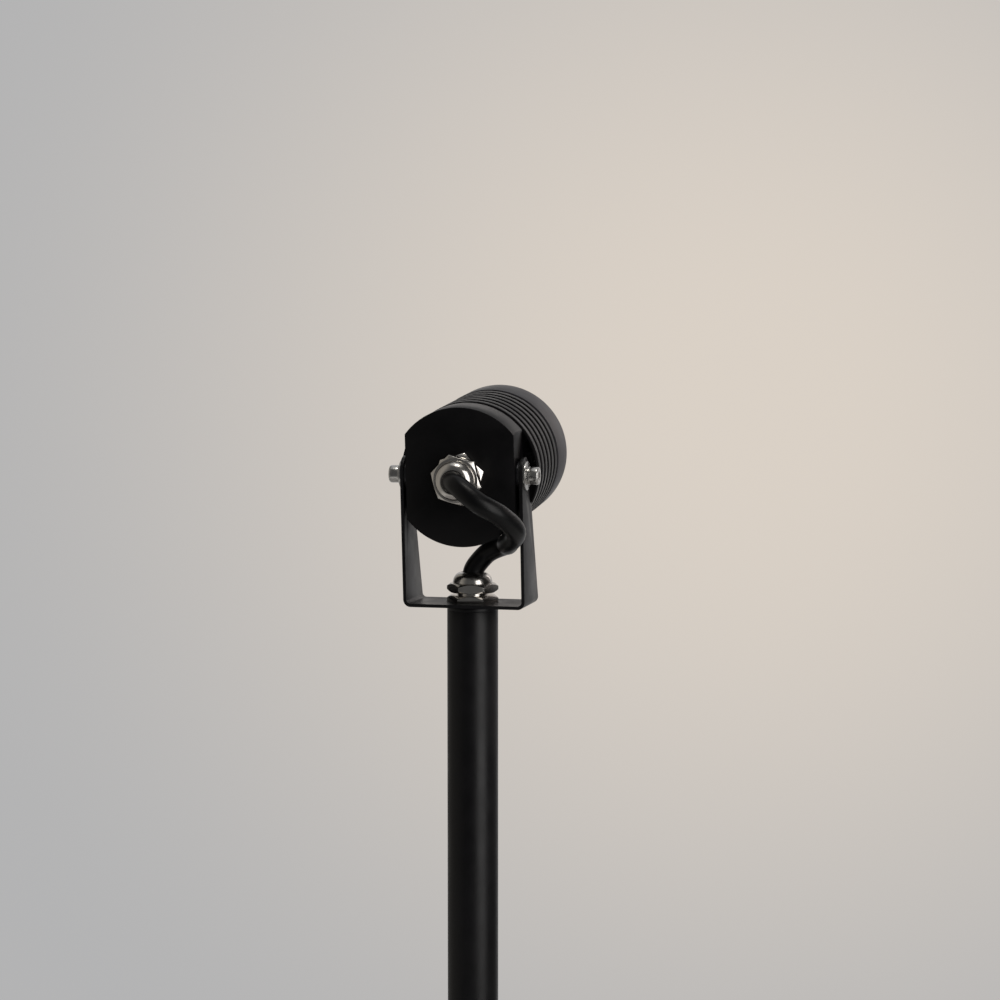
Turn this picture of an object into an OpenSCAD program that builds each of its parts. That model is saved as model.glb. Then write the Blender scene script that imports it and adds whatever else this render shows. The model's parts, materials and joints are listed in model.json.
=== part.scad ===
// Adjustable garden spotlight: a finned lamp head in a U bracket on top of a pole.
// The head tilts on two hinge screws, and the bracket swivels on the pole's top.
// Origin: on the pole's axis, on the ground. +Z is up, and the head looks along +Y.

/* [Foot] */
// Diameter of the round foot plate
foot_d = 140; // [130:1:160]
// Thickness of the foot plate
foot_t = 6; // [5:0.5:10]
// Diameter of the circle of anchor holes
anchor_pcd = 104; // [80:1:112]
// Diameter of each anchor hole
anchor_hole_d = 9; // [6:0.5:11]
// Number of anchor holes
anchor_count = 4; // [3:1:6]
// Outer diameter of the collar that holds the pole
collar_d = 35; // [34:0.5:44]
// Height of the collar
collar_h = 32; // [24:1:50]
// Thickness of the rubber grommet's inner wall round the supply lead
grommet_wall = 2; // [1.2:0.1:2.6]
// Bore of the grommet, for the supply lead
grommet_bore_d = 10.4; // [7:0.1:11]

/* [Pole] */
// Height of the pole's top above the ground
stand_h = 500; // [300:10:900]
// Outer diameter of the pole
pole_d = 25; // [24.6:0.1:25.6]
// Wall of the pole
pole_wall = 1.5; // [1.2:0.1:1.8]
// Thickness of the plug's flange on top of the pole
plug_flange_t = 2; // [1.5:0.1:3]
// Thickness of the plug's web that the swivel clamps
plug_web_t = 5; // [4:0.1:7]
// Length of the plug inside the pole
plug_len = 20; // [16:0.5:30]
// Thickness of the fibre washer under the bracket
swivel_washer_t = 0.5; // [0.3:0.1:1]

/* [Bracket] */
// Width over the outside of the two legs
bracket_w = 60.4; // [59.8:0.1:64]
// Thickness of the sheet
sheet_t = 1.6; // [1.2:0.1:1.9]
// Outside radius of the two bends
bend_r = 3.6; // [2.8:0.1:5]
// Reach of the base behind the pole's axis
base_rear = 18.3; // [16:0.1:21]
// Reach of the base in front of the pole's axis
base_front = 12.7; // [12.6:0.1:16]
// Height of the hinge axis above the base
hinge_h = 63; // [60:0.5:75]
// Distance of the hinge axis behind the pole's axis
hinge_back = 16.4; // [14:0.1:18]
// Radius of the rounded top of each leg
ear_r = 7.4; // [7.2:0.1:8.5]
// Height of the rounded top's centre above the hinge axis
ear_rise = 1.5; // [0:0.1:3]

/* [Hinge] */
// Thread diameter of the hinge screws
screw_d = 5; // [4:0.5:6]
// Length of the hinge screws under the head
screw_len = 10; // [9:0.5:10.5]
// Diameter of the socket head
screw_head_d = 8.5; // [7.5:0.1:9]
// Height of the socket head
screw_head_h = 4.5; // [4:0.1:6]
// Width across flats of the socket
socket_af = 4; // [3:0.1:4.5]
// Diameter of the flat washers
washer_d = 14; // [11:0.1:14.8]
// Thickness of the flat washers
washer_t = 1; // [0.6:0.1:1.5]
// Thickness of the spring washers
spring_washer_t = 1.2; // [1:0.1:1.6]
// Thickness of the steel spacers inside the legs
spacer_t = 1; // [0.6:0.1:1.2]

/* [Head] */
// Tilt of the head above level
head_tilt = 5.5; // [0:0.5:20]
// Width over the two flats
flats_w = 53.5; // [52:0.1:54]
// Diameter of the turned rear section
rear_d = 67.6; // [66:0.1:68]
// Length of the head behind the hinge axis
rear_len = 9; // [8.5:0.1:12]
// Length of the flats in front of the hinge axis
flat_front = 9.3; // [8.8:0.1:11]
// Width of the neck between the flats and the first fin
neck_w = 3.9; // [3.5:0.1:5]
// Depth of the grooves between the fins
groove_depth = 4.5; // [4:0.1:5.5]
// Diameter over the fins
fin_d = 68; // [67:0.1:69]
// Width of one fin
fin_w = 4.1; // [3.5:0.1:6]
// Width of one groove
groove_w = 3.4; // [1.5:0.1:4.5]
// Number of grooves
groove_count = 6; // [4:1:8]
// Thickness of the rear wall
rear_wall = 4.5; // [3.5:0.1:6]
// Wall of the housing under the grooves
groove_wall = 3; // [2:0.1:3.4]
// Width of the shoulder between the lamp chamber and the driver chamber
shoulder_w = 6; // [5.8:0.1:7]
// Depth from the hinge axis to the shoulder between the chambers
shoulder_s = 20; // [18:0.5:24]
// Length of the spigot that carries the bezel
spigot_len = 13.6; // [10:0.1:15]

/* [Front] */
// How far the bezel stands proud of the fins
bezel_proud = 0.2; // [0:0.1:1]
// Length of the bezel
bezel_len = 21.4; // [21:0.1:26]
// Thickness of the front glass
glass_t = 4; // [3:0.1:4.6]
// Thickness of the glass gasket
gasket_t = 1.5; // [1:0.1:2]
// Width of the bezel's lip in front of the glass
lip_w = 2.5; // [1.5:0.1:4]
// Width of the gasket and of the reflector's rim seat
gasket_w = 2.7; // [2:0.1:3]

/* [Lamp] */
// Thickness of the heat spreader
spreader_t = 5; // [4:0.1:7]
// Thickness of the lamp board
board_t = 1.6; // [1:0.1:2]
// Thickness of the heat-conducting pads
pad_t = 0.5; // [0.3:0.1:1]
// Height of the lamp's yellow emitter
emitter_h = 1; // [0.6:0.1:1.5]
// Width of the holder ring round the emitter
holder_w = 5.5; // [4:0.1:8]
// Gap between the emitter's holder ring and the heads of the lamp board's screws
holder_gap = 1.2; // [0.3:0.1:3]
// Height of the holder ring
holder_h = 3; // [2:0.1:4]
// Wall of the reflector
reflector_wall = 1; // [0.8:0.1:1.5]
// Gap round the driver
driver_gap = 1.5; // [0.5:0.1:2.4]
// Length of the driver
driver_len = 15; // [11:0.5:15]

/* [Glands] */
// Width across flats of the gland nuts
gland_af = 22; // [20.5:0.1:24]
// Thread diameter of the glands
gland_thread_d = 16; // [15:0.1:16.4]
// Height of the gland body's hexagon
gland_hex_h = 3.2; // [3:0.1:5]
// Height of the bare neck between hexagon and cap nut
gland_neck_h = 1.3; // [1:0.1:3]
// Height of the cap nut's hexagon
cap_hex_h = 4.5; // [3.4:0.1:5]
// Diameter of the cap nut's dome
dome_d = 19.4; // [18.8:0.1:20]
// Height of the dome above the cap nut's hexagon
dome_h = 5.5; // [4.8:0.1:6.5]
// Length of the rear gland's thread
rear_thread_len = 7; // [6:0.1:8]
// Thickness of the locknut inside the plug
locknut_t = 4; // [3:0.1:5]
// Thickness of the wave washer inside the plug
wave_washer_t = 1.2; // [0.8:0.1:1.6]

/* [Lead] */
// Diameter of the rubber lead between the glands
lead_d = 10; // [8:0.1:10.2]
// Length of lead hidden in the pole below the plug
lead_tail = 40; // [20:1:100]
// Length of the sealed splice at the lead's lower end
splice_len = 60; // [40:1:80]
// Diameter of the splice
splice_d = 17; // [14:0.5:20]

/* [Hidden] */
$fn = 96;

eps = 0.01;
// Radial play of a running fit, of a slip fit, and of a loose part
run_gap = 0.05;
slip_gap = 0.1;
loose_gap = 0.3;
// Rim that is broken on a turned part, and how far a cut runs past a face
edge = 0.5;
past = 1;

// Levels of the stand, from the ground up
pole_bore_d = pole_d - 2 * pole_wall;
collar_hole_d = pole_d + 2 * run_gap;
foot_hole_d = grommet_bore_d + 2 * grommet_wall + 2 * loose_gap;
plug_flange_z = stand_h - plug_flange_t;
washer_top_z = stand_h + swivel_washer_t;
base_z = washer_top_z + sheet_t;
collar_screw_z = foot_t + collar_h * 0.7;
collar_screw_turns = [30, 150];
weld_w = 3;
grommet_lip_h = 2;
grommet_lip_w = 2;

// Hinge and head
hinge_pos = [0, -hinge_back, base_z + hinge_h];
leg_inner_x = bracket_w / 2 - sheet_t;
flat_x = flats_w / 2;
hinge_gap = leg_inner_x - flat_x;
friction_t = hinge_gap - spacer_t;
groove_floor_d = fin_d - 2 * groove_depth;
neck_r = min(groove_floor_d / 2, leg_inner_x - loose_gap);
lamp_bore_d = groove_floor_d - 2 * groove_wall;
chamber_d = lamp_bore_d - 2 * shoulder_w;
bezel_d = fin_d + 2 * bezel_proud;
window_d = groove_floor_d - 2 * lip_w;
screw_seat_x = bracket_w / 2 + washer_t + spring_washer_t;
first_fin_s = flat_front + neck_w;
groove_pitch = fin_w + groove_w;
bezel_s = first_fin_s + groove_count * groove_pitch;
spigot_s = bezel_s + spigot_len;
glass_s = spigot_s + gasket_t;
lip_s = glass_s + glass_t;
front_s = bezel_s + bezel_len;
socket_depth = screw_head_h / 2;
screw_round_h = 1.2;
screw_round_w = 0.5;

// Lamp, from the shoulder forwards
spreader_s = shoulder_s;
board_pad_s = spreader_s + spreader_t;
board_s = board_pad_s + pad_t;
emitter_s = board_s + board_t;
holder_s = emitter_s;
reflector_s = holder_s + holder_h;
reflector_flange_t = 1.2;
reflector_seat = 1;
reflector_rim_w = 2;
driver_front_s = shoulder_s - pad_t;
driver_s = driver_front_s - driver_len;
driver_d = chamber_d - 2 * driver_gap;
lead_end_s = -rear_len + rear_thread_len + 1;
core_d = 2.6;
core_circle_r = 2.4;
board_screw_d = 3;
board_screw_head_d = 5;
board_screw_head_h = 1.8;
board_screw_len = 6;
spreader_screw_r = (lamp_bore_d + chamber_d) / 4;
board_d = 2 * spreader_screw_r - board_screw_head_d - 2 * edge;
board_screw_r = board_d / 2 - board_screw_head_d / 2 - loose_gap;
board_screw_turns = [0, 120, 240];
spreader_screw_len = 9;
spreader_screw_turns = [30, 150, 270];
holder_d = 2 * board_screw_r - board_screw_head_d - 2 * holder_gap;
emitter_d = holder_d - 2 * holder_w;
reflector_neck_r = emitter_d / 2 + loose_gap;
lamp_wire_d = 1.8;
wire_hole_d = lamp_wire_d + 2 * loose_gap;
lamp_wire_r = holder_d / 2 + wire_hole_d / 2 + loose_gap;
lamp_wire_turns = [80, 260];
pad_d = 2 * lamp_wire_r - wire_hole_d - 2 * edge;

// Gland heights above its seat
neck_top_z = gland_hex_h + gland_neck_h;
cap_top_z = neck_top_z + cap_hex_h;
mouth_z = cap_top_z + dome_h;
barrel_top_z = cap_top_z + 1;
seal_shoulder_z = barrel_top_z + 0.3;
seal_cone_z = seal_shoulder_z + 2.4;
seal_top_z = seal_cone_z - 0.4;
seal_flare = 0.3;
gland_bore_d = lead_d + 2 * loose_gap;
gland_neck_d = gland_thread_d - 1;
mouth_d = lead_d + 0.8;
dome_undercut = 0.35;
dome_foot_h = 0.3;
chamfer_h = 1.5;
plug_hole_d = gland_thread_d + 2 * run_gap;
plug_web_z = stand_h - plug_web_t;
locknut_d = pole_bore_d - 2.6;
plug_recess_d = locknut_d + 0.6;
wave_washer_z = plug_web_z - wave_washer_t;
locknut_z = wave_washer_z - locknut_t;
lower_thread_len = base_z - locknut_z + 1;
ring_wire_d = 1.6;
ring_circle_d = (gland_thread_d + gland_af) / 2 - 0.4;
// Turn of each hexagon about its own axis, in degrees
lower_cap_turn = 10;
lower_hex_turn = 8;
rear_cap_turn = 45;
rear_hex_turn = 16;

// A point on the head's axis, measured from the hinge axis
function on_axis(s) = [
    0, hinge_pos[1] + s * cos(head_tilt), hinge_pos[2] + s * sin(head_tilt)
];
// The lead's free stretch, from the rear gland to the lower gland, above the base
lead_free = [
    [2, -48, 61.5], [7.5, -57, 60], [17.5, -60.5, 53], [26.5, -55, 47],
    [31, -42, 38.5], [23.5, -25.5, 31], [19, -8, 29], [8.5, -1, 24.5],
    [2.5, 0, 18.5]
];
lead_top_z = base_z + mouth_z;
lead_low_z = locknut_z - lead_tail;
lead_route = concat(
    [for (s = [-lead_end_s, rear_len + 5, rear_len + 9, rear_len + mouth_z]) on_axis(-s)],
    [for (p = lead_free) p + [0, 0, base_z]],
    [[0.3, 0, lead_top_z], [0, 0, lead_top_z - 5], [0, 0, lead_top_z - 9],
     [0, 0, lead_top_z - 28], [0, 0, lead_low_z]]
);
lead_sides = 12;
lead_steps = 3;

// A smooth curve through the route's points, passing each point in the direction of its
// two neighbours
function curve_at(p, i, t) =
    let (
        a = p[max(i - 1, 0)], b = p[i], c = p[i + 1], d = p[min(i + 2, len(p) - 1)],
        reach = norm(c - b),
        leave = (c - a) / norm(c - a) * reach,
        arrive = (d - b) / norm(d - b) * reach
    )
    b * (2 * pow(t, 3) - 3 * pow(t, 2) + 1) + leave * (pow(t, 3) - 2 * pow(t, 2) + t)
    + c * (3 * pow(t, 2) - 2 * pow(t, 3)) + arrive * (pow(t, 3) - pow(t, 2));
function smooth_route(p, steps) = concat(
    [for (i = [0 : len(p) - 2], k = [0 : steps - 1]) curve_at(p, i, k / steps)],
    [p[len(p) - 1]]
);
function unit(v) = v / norm(v);
function tangent(p, i) = unit(p[min(i + 1, len(p) - 1)] - p[max(i - 1, 0)]);
// The direction across the curve, carried from ring to ring without twist
function carried(p, i, side) =
    let (t = tangent(p, i), flat = side - (side * t) * t) unit(flat);
function sides_from(p, i, side) =
    i == len(p) ? []
    : let (s = carried(p, i, side)) concat([s], sides_from(p, i + 1, s));

// One closed tube swept along a list of points
module swept_tube(points, d, sides) {
    across = sides_from(points, 0, [1, 0, 0]);
    rings = [
        for (i = [0 : len(points) - 1], k = [0 : sides - 1])
            let (t = tangent(points, i), u = across[i], v = cross(t, u),
                 a = 360 * k / sides)
            points[i] + (u * cos(a) + v * sin(a)) * d / 2
    ];
    last = (len(points) - 1) * sides;
    faces = concat(
        [[for (k = [0 : sides - 1]) k]],
        [
            for (i = [0 : len(points) - 2], k = [0 : sides - 1])
                let (n = (k + 1) % sides, a = i * sides)
                [a + n, a + k, a + sides + k, a + sides + n]
        ],
        [[for (k = [sides - 1 : -1 : 0]) last + k]]
    );
    polyhedron(rings, faces, convexity = 6);
}

// Places children on the hinge axis with the head's tilt
module at_hinge() {
    translate(hinge_pos) rotate([head_tilt, 0, 0]) children();
}

// Places children that are turned about +Z so that their +Z is the head's axis
module along_head() {
    at_hinge() rotate([-90, 0, 0]) children();
}

// Places a gland's seat on the rear wall, with its +Z pointing out of it
module at_rear_gland() {
    at_hinge() translate([0, -rear_len, 0]) rotate([90, 0, 0]) children();
}

module at_lower_gland() {
    translate([0, 0, base_z]) children();
}

// Places children at both hinge screws, their +Z pointing out along the hinge axis
module at_both_screws(x) {
    for (side = [0, 180])
        at_hinge() rotate([0, 0, side]) translate([x, 0, 0]) rotate([0, 90, 0]) children();
}

// A flat ring standing on z = 0
module ring(outer_d, inner_d, h) {
    difference() {
        cylinder(d = outer_d, h = h);
        translate([0, 0, -1]) cylinder(d = inner_d, h = h + 2);
    }
}

// A hexagon across flats, with its corners turned down at the ends that are asked for
module hex_block(af, h, chamfer_top, chamfer_low) {
    corner_r = af / 2 / cos(30);
    intersection() {
        cylinder(r = corner_r, h = h, $fn = 6);
        rotate_extrude() polygon([
            [0, 0], [corner_r - (corner_r - af / 2 + 0.2) * min(1, chamfer_low), 0],
            [corner_r + 0.1, chamfer_low], [corner_r + 0.1, h - chamfer_top],
            [corner_r - (corner_r - af / 2 + 0.2) * min(1, chamfer_top), h], [0, h]
        ]);
    }
}

// Foot plate with its chamfered rim, cable hole and anchor holes
module foot_plate() {
    color([0.13, 0.13, 0.14]) difference() {
        rotate_extrude() polygon([
            [0, 0], [foot_d / 2, 0], [foot_d / 2, foot_t - 2 * edge],
            [foot_d / 2 - 2 * edge, foot_t], [0, foot_t]
        ]);
        translate([0, 0, -1]) cylinder(d = foot_hole_d, h = foot_t + 2);
        for (i = [0 : anchor_count - 1])
            rotate([0, 0, 360 * (i + 0.5) / anchor_count])
                translate([anchor_pcd / 2, 0, -1]) cylinder(d = anchor_hole_d, h = foot_t + 2);
    }
}

// Collar welded on the foot plate, with its weld bead and two grub screw holes
module foot_collar() {
    color([0.13, 0.13, 0.14]) difference() {
        rotate_extrude() polygon([
            [collar_hole_d / 2, foot_t], [collar_d / 2 + weld_w, foot_t],
            [collar_d / 2, foot_t + weld_w], [collar_d / 2, foot_t + collar_h - edge],
            [collar_d / 2 - edge, foot_t + collar_h], [collar_hole_d / 2, foot_t + collar_h]
        ]);
        for (a = collar_screw_turns)
            rotate([0, 0, a]) translate([0, 0, collar_screw_z]) rotate([0, 90, 0])
                cylinder(d = screw_d + 2 * run_gap, h = collar_d);
    }
}

// Two grub screws that hold the pole in the collar
module collar_grub_screws() {
    length = (collar_d - pole_d) / 2;
    color([0.55, 0.55, 0.56])
    for (a = collar_screw_turns)
        rotate([0, 0, a]) translate([pole_d / 2, 0, collar_screw_z]) rotate([0, 90, 0])
            difference() {
                cylinder(d = screw_d, h = length);
                translate([0, 0, length / 2])
                    cylinder(d = socket_af / 2 / cos(30), h = length, $fn = 6);
            }
}

// Rubber grommet that the supply lead comes up through
module foot_grommet() {
    lip_d = min(foot_hole_d + 2 * grommet_lip_w, pole_bore_d - 2 * loose_gap);
    color([0.06, 0.06, 0.06]) rotate_extrude() polygon([
        [grommet_bore_d / 2, edge], [foot_hole_d / 2 - slip_gap, edge],
        [foot_hole_d / 2 - slip_gap, foot_t], [lip_d / 2, foot_t],
        [lip_d / 2, foot_t + grommet_lip_h], [grommet_bore_d / 2, foot_t + grommet_lip_h]
    ]);
}

// Pole tube, open at both ends
module pole_tube() {
    color([0.2, 0.2, 0.21]) translate([0, 0, foot_t])
        ring(pole_d, pole_bore_d, plug_flange_z - foot_t);
}

// Turned plug in the pole's top: its web is the swivel's bearing
module pole_plug() {
    body_r = pole_bore_d / 2 - run_gap;
    color([0.2, 0.2, 0.21]) rotate_extrude() polygon([
        [plug_hole_d / 2, stand_h], [plug_hole_d / 2, plug_web_z],
        [plug_recess_d / 2, plug_web_z], [plug_recess_d / 2, stand_h - plug_len],
        [body_r, stand_h - plug_len], [body_r, plug_flange_z], [pole_d / 2, plug_flange_z],
        [pole_d / 2, stand_h - edge], [pole_d / 2 - edge, stand_h]
    ]);
}

// Fibre washer between plug and bracket
module swivel_washer() {
    color([0.1, 0.1, 0.1]) translate([0, 0, stand_h])
        ring(pole_d - 2 * edge, plug_hole_d, swivel_washer_t);
}

// Outline of the sheet seen along the pole's rear: a U with round bends
module u_outline(w, r) {
    translate([-w / 2 + r, 0]) circle(r);
    translate([w / 2 - r, 0]) circle(r);
    translate([-w / 2, 0]) square([w, hinge_h + 3 * ear_r]);
    translate([-w / 2 + r, -r]) square([w - 2 * r, r + 1]);
}

// Both legs' outline seen from the side, cut out across the bracket's whole width
module leg_blank() {
    c = [-hinge_back, hinge_h + ear_rise];
    rear = [-base_rear, 0];
    front = [base_front, 0];
    // Where the two straight edges run into the rounded top, a hair inside it
    function touch(p, side) =
        let (r = ear_r - eps, v = c - p, far = norm(v), along = sqrt(far * far - r * r),
             turn = side * asin(r / far))
        p + [v[0] * cos(turn) - v[1] * sin(turn), v[0] * sin(turn) + v[1] * cos(turn)]
            * along / far;
    translate([-bracket_w, 0, base_z]) rotate([90, 0, 90]) {
        linear_extrude(2 * bracket_w) polygon([
            [rear[0], -sheet_t - past], rear, touch(rear, 1), touch(front, -1), front,
            [front[0], -sheet_t - past]
        ]);
        translate([c[0], c[1], 0]) cylinder(r = ear_r, h = 2 * bracket_w);
    }
}

// Bent sheet bracket with its gland hole and two hinge holes
module u_bracket() {
    color([0.16, 0.16, 0.17]) difference() {
        intersection() {
            translate([0, bracket_w, washer_top_z + bend_r]) rotate([90, 0, 0])
                linear_extrude(2 * bracket_w)
                difference() {
                    u_outline(bracket_w, bend_r);
                    u_outline(bracket_w - 2 * sheet_t, bend_r - sheet_t);
                }
            leg_blank();
        }
        translate([0, 0, washer_top_z - past])
            cylinder(d = gland_thread_d + 2 * slip_gap, h = sheet_t + 2 * past);
        translate([-bracket_w, hinge_pos[1], hinge_pos[2]]) rotate([0, 90, 0])
            cylinder(d = screw_d + 2 * run_gap, h = 2 * bracket_w);
    }
}

// Gland body: hexagon, bare neck, barrel inside the cap nut and thread below
module gland_body(thread_len, turn) {
    color([0.75, 0.74, 0.72]) difference() {
        union() {
            rotate([0, 0, turn]) hex_block(gland_af, gland_hex_h, chamfer_h, 0);
            translate([0, 0, gland_hex_h - eps])
                cylinder(d = gland_neck_d, h = gland_neck_h + 2 * eps);
            translate([0, 0, neck_top_z])
                cylinder(d = gland_thread_d, h = barrel_top_z - neck_top_z);
            translate([0, 0, -thread_len]) cylinder(d = gland_thread_d, h = thread_len + eps);
        }
        translate([0, 0, -thread_len - 1])
            cylinder(d = gland_bore_d, h = thread_len + barrel_top_z + 2);
        translate([0, 0, -1])
            ring(ring_circle_d + ring_wire_d, ring_circle_d - ring_wire_d, 1 + ring_wire_d);
    }
}

// Cap nut: hexagon with a round dome that the lead comes out of
module cap_nut(turn) {
    r = dome_d / 2;
    mouth_r = mouth_d / 2;
    foot_z = cap_top_z + dome_foot_h;
    round_w = dome_h - 0.8;
    round_h = mouth_z - foot_z;
    color([0.8, 0.79, 0.77]) difference() {
        union() {
            translate([0, 0, neck_top_z]) rotate([0, 0, turn])
                hex_block(gland_af, cap_hex_h, chamfer_h, chamfer_h);
            rotate_extrude() polygon(concat(
                [
                    [0, cap_top_z - 1], [r - dome_undercut, cap_top_z - 1],
                    [r - dome_undercut, cap_top_z + 0.05]
                ],
                [
                    for (a = [0 : 15 : 75])
                        [r - round_w + round_w * cos(a), foot_z + round_h * sin(a)]
                ],
                [[r - round_w, mouth_z], [0, mouth_z]]
            ));
        }
        translate([0, 0, neck_top_z - 1])
            cylinder(d = gland_thread_d + 2 * run_gap, h = seal_shoulder_z - neck_top_z + 1);
        translate([0, 0, seal_shoulder_z - eps])
            cylinder(d1 = gland_thread_d + 2 * run_gap, d2 = mouth_d,
                     h = seal_cone_z - seal_shoulder_z + eps);
        translate([0, 0, seal_cone_z - eps]) cylinder(r = mouth_r, h = dome_h + 2);
        translate([0, 0, mouth_z - 0.6]) cylinder(r1 = mouth_r, r2 = mouth_r + 0.7, h = 0.7);
    }
}

// Rubber seal that grips the lead inside the cap nut, and opens a little towards its mouth
module gland_seal() {
    inner_r = lead_d / 2 + run_gap;
    rim_r = gland_thread_d / 2 - slip_gap;
    mouth_r = mouth_d / 2 - slip_gap;
    top_r = mouth_r + (rim_r - mouth_r) * (seal_cone_z - seal_top_z)
        / (seal_cone_z - seal_shoulder_z);
    color([0.05, 0.05, 0.05]) rotate_extrude() polygon([
        [inner_r, barrel_top_z], [rim_r, barrel_top_z], [rim_r, seal_shoulder_z],
        [top_r - slip_gap, seal_top_z], [inner_r + seal_flare, seal_top_z],
        [inner_r, seal_shoulder_z]
    ]);
}

// Sealing ring in the groove of the gland's hexagon
module gland_ring() {
    color([0.04, 0.04, 0.04]) rotate_extrude()
        translate([ring_circle_d / 2, ring_wire_d / 2]) circle(d = ring_wire_d - 0.02);
}

module lower_gland_body() {
    at_lower_gland() gland_body(lower_thread_len, lower_hex_turn);
}

module lower_cap_nut() {
    at_lower_gland() cap_nut(lower_cap_turn);
}

module lower_gland_seal() {
    at_lower_gland() gland_seal();
}

module lower_gland_ring() {
    at_lower_gland() gland_ring();
}

// Round slotted nut under the plug's web
module gland_locknut() {
    color([0.75, 0.74, 0.72]) translate([0, 0, locknut_z]) difference() {
        ring(locknut_d, gland_thread_d + 2 * run_gap, locknut_t);
        for (a = [0 : 90 : 270])
            rotate([0, 0, a]) translate([locknut_d / 2 - 1, -1, -1]) cube([3, 2, 3]);
    }
}

// Spring washer that keeps the swivel tight
module wave_washer() {
    color([0.6, 0.6, 0.6]) translate([0, 0, wave_washer_z])
        ring(locknut_d, gland_thread_d + 2 * slip_gap, wave_washer_t);
}

// Rubber lead from inside the head, through both glands, down into the pole
module connection_lead() {
    color([0.05, 0.05, 0.055])
        swept_tube(smooth_route(lead_route, lead_steps), lead_d, lead_sides);
}

// Sealed splice at the lead's lower end, inside the pole
module lead_splice() {
    color([0.08, 0.08, 0.09]) translate([0, 0, lead_low_z - splice_len]) {
        rotate_extrude() polygon([
            [0, 0], [splice_d / 2 - 2, 0], [splice_d / 2, 2],
            [splice_d / 2, splice_len - 5], [lead_d / 2, splice_len], [0, splice_len]
        ]);
    }
}

// Two socket head screws that the head turns on
module hinge_screws() {
    color([0.78, 0.77, 0.75]) at_both_screws(screw_seat_x) difference() {
        union() {
            cylinder(d = screw_head_d, h = screw_head_h - screw_round_h);
            translate([0, 0, screw_head_h - screw_round_h])
                cylinder(d1 = screw_head_d, d2 = screw_head_d - 2 * screw_round_w,
                         h = screw_round_h);
            translate([0, 0, -screw_len]) cylinder(d = screw_d, h = screw_len + eps);
        }
        translate([0, 0, screw_head_h - socket_depth])
            cylinder(d = socket_af / cos(30), h = screw_head_h, $fn = 6);
    }
}

// Split spring washers under the screw heads
module spring_washers() {
    color([0.7, 0.7, 0.69]) at_both_screws(bracket_w / 2 + washer_t) difference() {
        ring(screw_head_d + 0.4, screw_d + 2 * slip_gap, spring_washer_t);
        translate([screw_d / 2, 0, spring_washer_t / 2]) rotate([35, 0, 0])
            cube([screw_d, 0.6, 3 * spring_washer_t], center = true);
    }
}

// Flat washers on the outside of the legs
module flat_washers() {
    color([0.75, 0.75, 0.74]) at_both_screws(bracket_w / 2)
        ring(washer_d, screw_d + 2 * run_gap, washer_t);
}

// Nylon discs between the legs and the steel spacers
module friction_discs() {
    color([0.12, 0.12, 0.12]) at_both_screws(leg_inner_x - friction_t)
        ring(washer_d - 0.6, screw_d + 2 * run_gap, friction_t);
}

// Steel spacers against the head's flats
module hinge_spacers() {
    color([0.06, 0.06, 0.065]) at_both_screws(flat_x)
        ring(washer_d, screw_d + 2 * run_gap, spacer_t);
}

// Outline of the turned housing: radius and distance along the head's axis
function housing_outline() =
    let (floor_r = groove_floor_d / 2, rear_r = rear_d / 2, fin_r = fin_d / 2)
    concat(
        [
            [0, -rear_len], [rear_r - edge, -rear_len], [rear_r, -rear_len + edge],
            [rear_r, flat_front - edge / 2], [rear_r - edge / 2, flat_front],
            [neck_r, flat_front], [neck_r, first_fin_s]
        ],
        [
            for (i = [0 : groove_count - 1])
                let (a = first_fin_s + i * groove_pitch, b = a + fin_w)
                each [
                    [fin_r - edge / 2, a], [fin_r, a + edge / 2], [fin_r, b - edge / 2],
                    [fin_r - edge / 2, b], [floor_r, b], [floor_r, b + groove_w]
                ]
        ],
        [
            [floor_r, spigot_s], [lamp_bore_d / 2, spigot_s], [lamp_bore_d / 2, shoulder_s],
            [chamber_d / 2, shoulder_s], [chamber_d / 2, rear_wall - rear_len],
            [0, rear_wall - rear_len]
        ]
    );

// Turned housing with two flats, fins, threaded hinge holes and a threaded cable hole
module head_housing() {
    hole_end_x = screw_seat_x - screw_len - 0.3;
    color([0.17, 0.17, 0.18]) difference() {
        along_head() rotate_extrude() polygon(housing_outline());
        for (side = [-1, 1])
            at_hinge() translate([side * (flat_x + fin_d / 2), 0, 0])
                cube([fin_d, 2 * flat_front, 2 * fin_d], center = true);
        at_both_screws(hole_end_x)
            cylinder(d = screw_d + 2 * run_gap, h = screw_len);
        at_rear_gland() translate([0, 0, -2 * rear_wall])
            cylinder(d = gland_thread_d + 2 * run_gap, h = 3 * rear_wall);
        along_head() for (a = spreader_screw_turns)
            rotate([0, 0, a]) translate([spreader_screw_r, 0, shoulder_s - spreader_screw_len])
                cylinder(d = board_screw_d + 2 * run_gap, h = spreader_screw_len + 1);
    }
}

module rear_gland_body() {
    at_rear_gland() gland_body(rear_thread_len, rear_hex_turn);
}

module rear_cap_nut() {
    at_rear_gland() cap_nut(rear_cap_turn);
}

module rear_gland_seal() {
    at_rear_gland() gland_seal();
}

module rear_gland_ring() {
    at_rear_gland() gland_ring();
}

// Sealed driver can in the rear chamber
module driver() {
    color([0.3, 0.3, 0.31]) along_head() translate([0, 0, driver_s]) rotate_extrude() polygon([
        [0, 0], [driver_d / 2 - 1, 0], [driver_d / 2, 1], [driver_d / 2, driver_len],
        [0, driver_len]
    ]);
}

// Three cores from the lead's end to the driver
module driver_wires() {
    for (i = [0 : 2])
        color([[0.35, 0.2, 0.1], [0.1, 0.2, 0.5], [0.3, 0.5, 0.15]][i]) along_head()
            rotate([0, 0, 120 * i]) translate([core_circle_r, 0, lead_end_s])
                cylinder(d = core_d, h = driver_s - lead_end_s, $fn = 24);
}

// Heat-conducting pad between driver and spreader
module driver_pad() {
    color([0.55, 0.6, 0.65]) along_head() translate([0, 0, driver_front_s])
        cylinder(d = pad_d, h = pad_t);
}

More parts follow.
